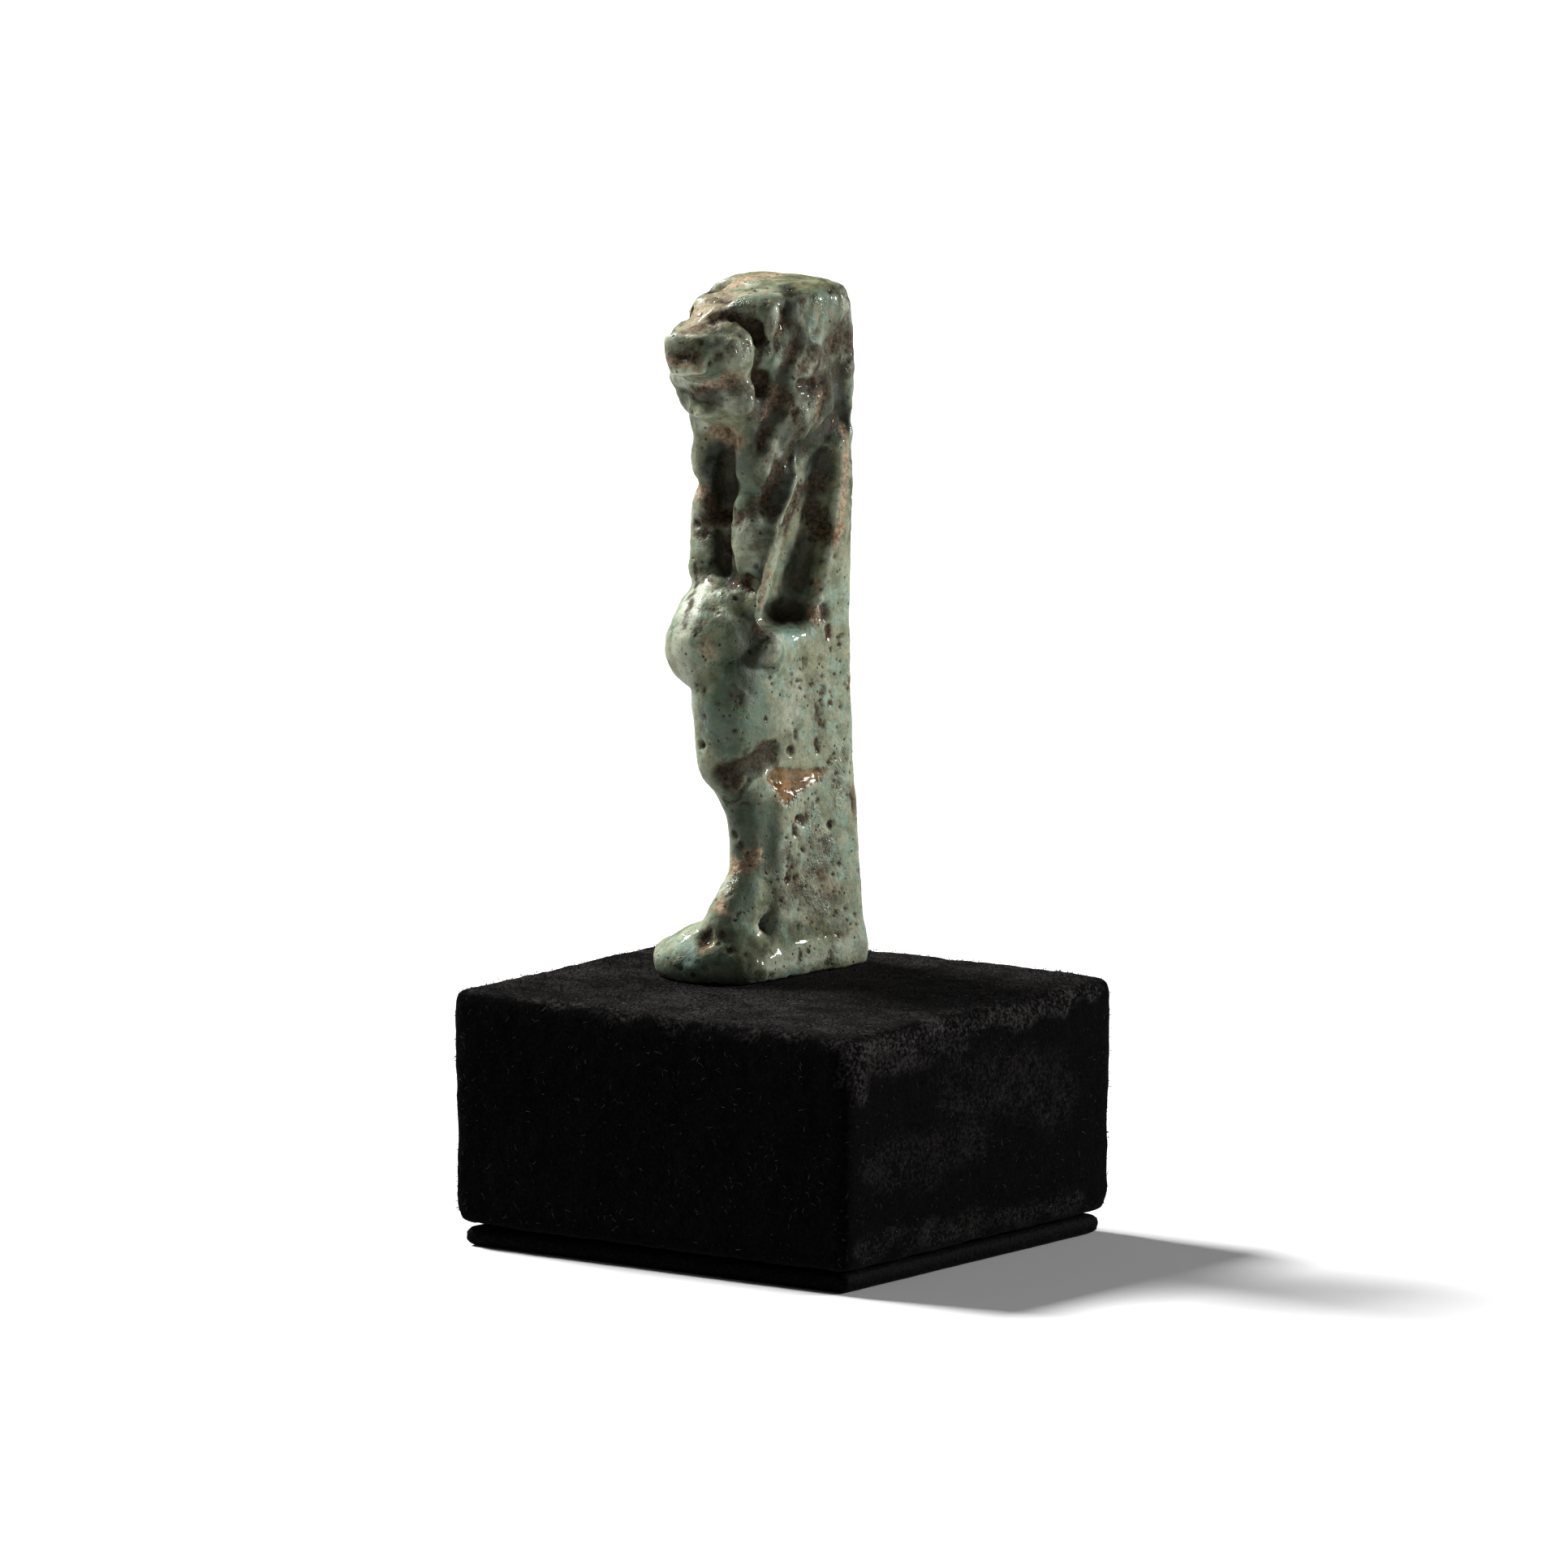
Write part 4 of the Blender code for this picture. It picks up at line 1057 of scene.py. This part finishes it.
def faience():
    s = Shader("faience_glaze")
    broad = s.noise(3.4, 3.0)
    middle = s.noise(1.15, 4.0, 0.6)
    other = s.noise(0.8, 4.0, 0.6, twist=0.4)
    tan = s.noise(0.5, 3.0, 0.7)
    grain = s.noise(0.24, 3.0, 0.7)
    dust = s.noise(0.13, 2.0, 0.7)
    hollow = s.mask("hollow")
    ridge = s.mask("ridge")
    colour = s.blend(s.span(middle, 0.38, 0.62), (0.134, 0.165, 0.099), (0.278, 0.300, 0.207))
    colour = s.blend(s.span(other, 0.45, 0.66, 0.0, 0.85), colour, (0.200, 0.288, 0.224))
    colour = s.blend(s.span(broad, 0.44, 0.66, 0.0, 0.55), colour, (0.180, 0.165, 0.080))
    olive = s.times(s.mask("olive"), s.span(middle, 0.62, 0.40, 0.35, 1.0))
    colour = s.blend(olive, colour, (0.125, 0.118, 0.058))
    # ridges painted lighter
    colour = s.blend(s.times(ridge, 0.45), colour, (0.36, 0.38, 0.28))
    colour = s.blend(s.times(s.mask("blue"), 0.75), colour, (0.225, 0.360, 0.325))
    # the 'glaze' paint: darker green glaze, and in many marks painted shade on creases, the thigh, the leg
    # and the knob's far side
    colour = s.blend(s.times(s.mask("glaze"), 0.75), colour, (0.050, 0.088, 0.054))
    # the 'pale' paint: paler glaze, and in many marks a painted highlight on glints and lit edges
    colour = s.blend(s.times(s.mask("pale"), 0.60), colour, (0.45, 0.48, 0.39))
    # salt, olive and tan grains
    unglazed = s.minus(1.0, s.times(s.mask("glaze"), 0.75))
    salt = s.times(s.span(grain, 0.56, 0.72, 0.0, 0.50), unglazed)
    salt = s.times(salt, s.span(other, 0.42, 0.62, 0.25, 1.0))
    salt = s.times(salt, s.minus(1.0, s.times(s.mask("olive"), 0.4)))
    colour = s.blend(salt, colour, (0.48, 0.50, 0.42))
    colour = s.blend(s.span(grain, 0.45, 0.32, 0.0, 0.65), colour, (0.090, 0.092, 0.050))
    colour = s.blend(s.span(tan, 0.58, 0.72, 0.0, 0.75), colour, (0.270, 0.185, 0.090))
    # the 'dark' paint: painted shade, near black, in grooves, creases and recesses; one mark is a dark crack
    deep = s.times(s.mask("dark"), s.span(middle, 0.25, 0.75, 1.05, 0.75), True)
    colour = s.blend(s.times(deep, 0.95), colour, (0.012, 0.016, 0.008))
    # painted shade: near-black green in the hollows, strongest in the wig's grooves
    colour = s.blend(s.times(hollow, s.span(other, 0.3, 0.7, 0.95, 0.60)), colour, (0.035, 0.040, 0.020))
    # bare worn body, stained edges, and soil in the hollows
    worn = s.times(s.mask("worn"), s.span(tan, 0.30, 0.60, 0.45, 1.0))
    body = s.blend(s.span(grain, 0.40, 0.60), (0.225, 0.140, 0.080), (0.440, 0.335, 0.225))
    colour = s.blend(worn, colour, body)
    rust = s.times(s.mask("rust"), s.span(tan, 0.35, 0.6))
    colour = s.blend(rust, colour, (0.110, 0.055, 0.028))
    soil = s.plus(s.mask("dirt"), s.times(hollow, 0.35), True)
    soil = s.times(soil, s.span(tan, 0.32, 0.58, 0.50, 1.15), True)
    brown = s.blend(s.span(grain, 0.40, 0.64), (0.023, 0.014, 0.007), (0.098, 0.058, 0.029))
    colour = s.blend(s.times(soil, 0.94), colour, brown)
    # pinholes in the glaze
    hole = s.times(s.span(s.cells(0.55), 0.18, 0.10), s.span(s.noise(1.4, 2.0), 0.44, 0.58))
    colour = s.blend(s.times(hole, 0.88), colour, (0.025, 0.017, 0.009))
    ochre = s.blend(s.span(other, 0.35, 0.65), (0.110, 0.062, 0.016), (0.260, 0.155, 0.060))
    covered = s.minus(1.0, s.times(s.mask("dirt"), 0.7))
    colour = s.blend(s.times(s.mask("chip"), covered, True), colour, ochre)
    gloss = s.span(middle, 0.35, 0.70, 0.46, 0.62)
    gloss = s.plus(gloss, s.times(soil, 0.40), True)
    gloss = s.plus(gloss, s.times(worn, 0.25), True)
    gloss = s.plus(gloss, s.times(s.mask("matt"), 0.36), True)
    gloss = s.minus(gloss, s.times(s.mask("chip"), 0.34), True)
    shiny = s.mask("shiny")
    gloss = s.minus(gloss, s.times(shiny, 0.38), True)
    s.set(Base_Color=colour, Roughness=gloss)
    s.set(Coat_Weight=0.14, Coat_Roughness=0.08, Specular_IOR_Level=0.36)
    height = s.plus(s.times(middle, 1.2), s.times(grain, 0.50))
    height = s.plus(height, s.times(dust, 0.16))
    height = s.minus(height, s.times(hole, 0.8))
    height = s.plus(height, s.times(s.times(grain, soil), 1.2))
    height = s.plus(height, s.times(s.times(grain, shiny), 1.4))
    smooth = s.minus(1.0, s.times(s.mask("chip"), 0.75))
    s.bump(s.times(height, smooth), 0.07)
    return s.material


def velvet():
    s = Shader("black_velvet")
    nap = s.noise(0.20, 3.0, 0.7)
    cloud = s.noise(2.2, 4.0, 0.6)
    patchy = s.plus(s.times(cloud, 0.5), s.times(nap, 1.0))
    # the 'worn' mask here: rubbed grey nap, and painted sheen on the lit edges and the top face
    worn = s.times(s.mask("worn"), s.span(patchy, 0.64, 0.94))
    colour = s.blend(s.span(nap, 0.40, 0.72), (0.0006, 0.0005, 0.0005), (0.0040, 0.0036, 0.0034))
    colour = s.blend(worn, colour, (0.060, 0.056, 0.055))
    s.set(Base_Color=colour, Roughness=0.9)
    s.set(Sheen_Weight=0.025, Sheen_Roughness=0.5, Sheen_Tint=(0.75, 0.70, 0.68, 1.0))
    s.set(Specular_IOR_Level=0.03)
    s.bump(s.plus(nap, s.times(cloud, 0.6)), 0.10)
    return s.material


def lint():
    s = Shader("grey_lint")
    colour = s.blend(s.noise(3.0), (0.040, 0.032, 0.030), (0.28, 0.23, 0.21))
    s.set(Base_Color=colour, Roughness=0.7)
    return s.material


def ribbed():
    s = Shader("black_ribbed_cloth")
    weave = s.noise(0.22, 2.0, 0.6)
    colour = s.blend(s.span(weave, 0.45, 0.75), (0.0005, 0.0005, 0.0006), (0.006, 0.006, 0.006))
    s.set(Base_Color=colour, Roughness=0.7)
    s.set(Sheen_Weight=0.008, Sheen_Roughness=0.4, Specular_IOR_Level=0.06)
    s.bump(weave, 0.08)
    return s.material


# The stage.

def area_light(name, direction, size, power):
    """A square light that shines on the object from the given direction."""
    data = bpy.data.lights.new(name, "AREA")
    data.shape = "SQUARE"
    data.size = size
    data.energy = power
    lamp = add_object(name, data)
    way = Vector(direction).normalized()
    lamp.location = LIT_POINT + way * LIGHT_DISTANCE
    lamp.rotation_mode = "QUATERNION"
    lamp.rotation_quaternion = way.to_track_quat("Z", "Y")


def make_stage():
    mesh = bpy.data.meshes.new("studio_floor")
    half = FLOOR_HALF
    corners = [(-half, -half, 0), (half, -half, 0), (half, half, 0), (-half, half, 0)]
    mesh.from_pydata(corners, [], [(0, 1, 2, 3)])
    floor = add_object("studio_floor", mesh)
    paper = bpy.data.materials.new("white_paper")
    paper.use_nodes = True
    surface = paper.node_tree.nodes["Principled BSDF"].inputs
    surface["Base Color"].default_value = (FLOOR_GREY, FLOOR_GREY, FLOOR_GREY, 1.0)
    surface["Roughness"].default_value = 1.0
    surface["Specular IOR Level"].default_value = 0.0
    mesh.materials.append(paper)
    world = bpy.data.worlds.new("studio_air")
    world.use_nodes = True
    air = world.node_tree.nodes["Background"]
    air.inputs["Color"].default_value = (1.0, 1.0, 1.0, 1.0)
    air.inputs["Strength"].default_value = AIR_STRENGTH
    bpy.context.scene.world = world
    area_light("key_left", (-0.72, -0.02, 0.80), 0.70, 225.0)
    area_light("side_right", (0.62, 0.64, 0.30), 0.45, 104.0)
    area_light("front_fill", (0.35, -0.80, 0.45), 1.5, 4.0)
    camera_data = bpy.data.cameras.new("reference_camera")
    camera_data.lens = VIEW_LENS
    camera_data.sensor_width = VIEW_SENSOR
    camera_data.clip_start = 0.05
    camera_data.clip_end = 20.0
    camera = add_object("reference_camera", camera_data)
    camera.location = EYE
    camera.rotation_mode = "QUATERNION"
    camera.rotation_quaternion = BACK.to_track_quat("Z", "Y")
    bpy.context.scene.camera = camera
    view = bpy.context.scene.view_settings
    view.view_transform = "Standard"
    view.look = "None"
    view.gamma = PICTURE_GAMMA


figure = make_figure()
figure.data.materials.append(faience())
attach(figure, "root")
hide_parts("amulet")

plinth = make_velvet()
plinth.data.materials.append(velvet())
plinth.data.materials.append(lint())
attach(plinth, "root")
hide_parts("plinth_block")

pad = make_pad()
pad.data.materials.append(ribbed())
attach(pad, "root")
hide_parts("base_pad")

make_stage()
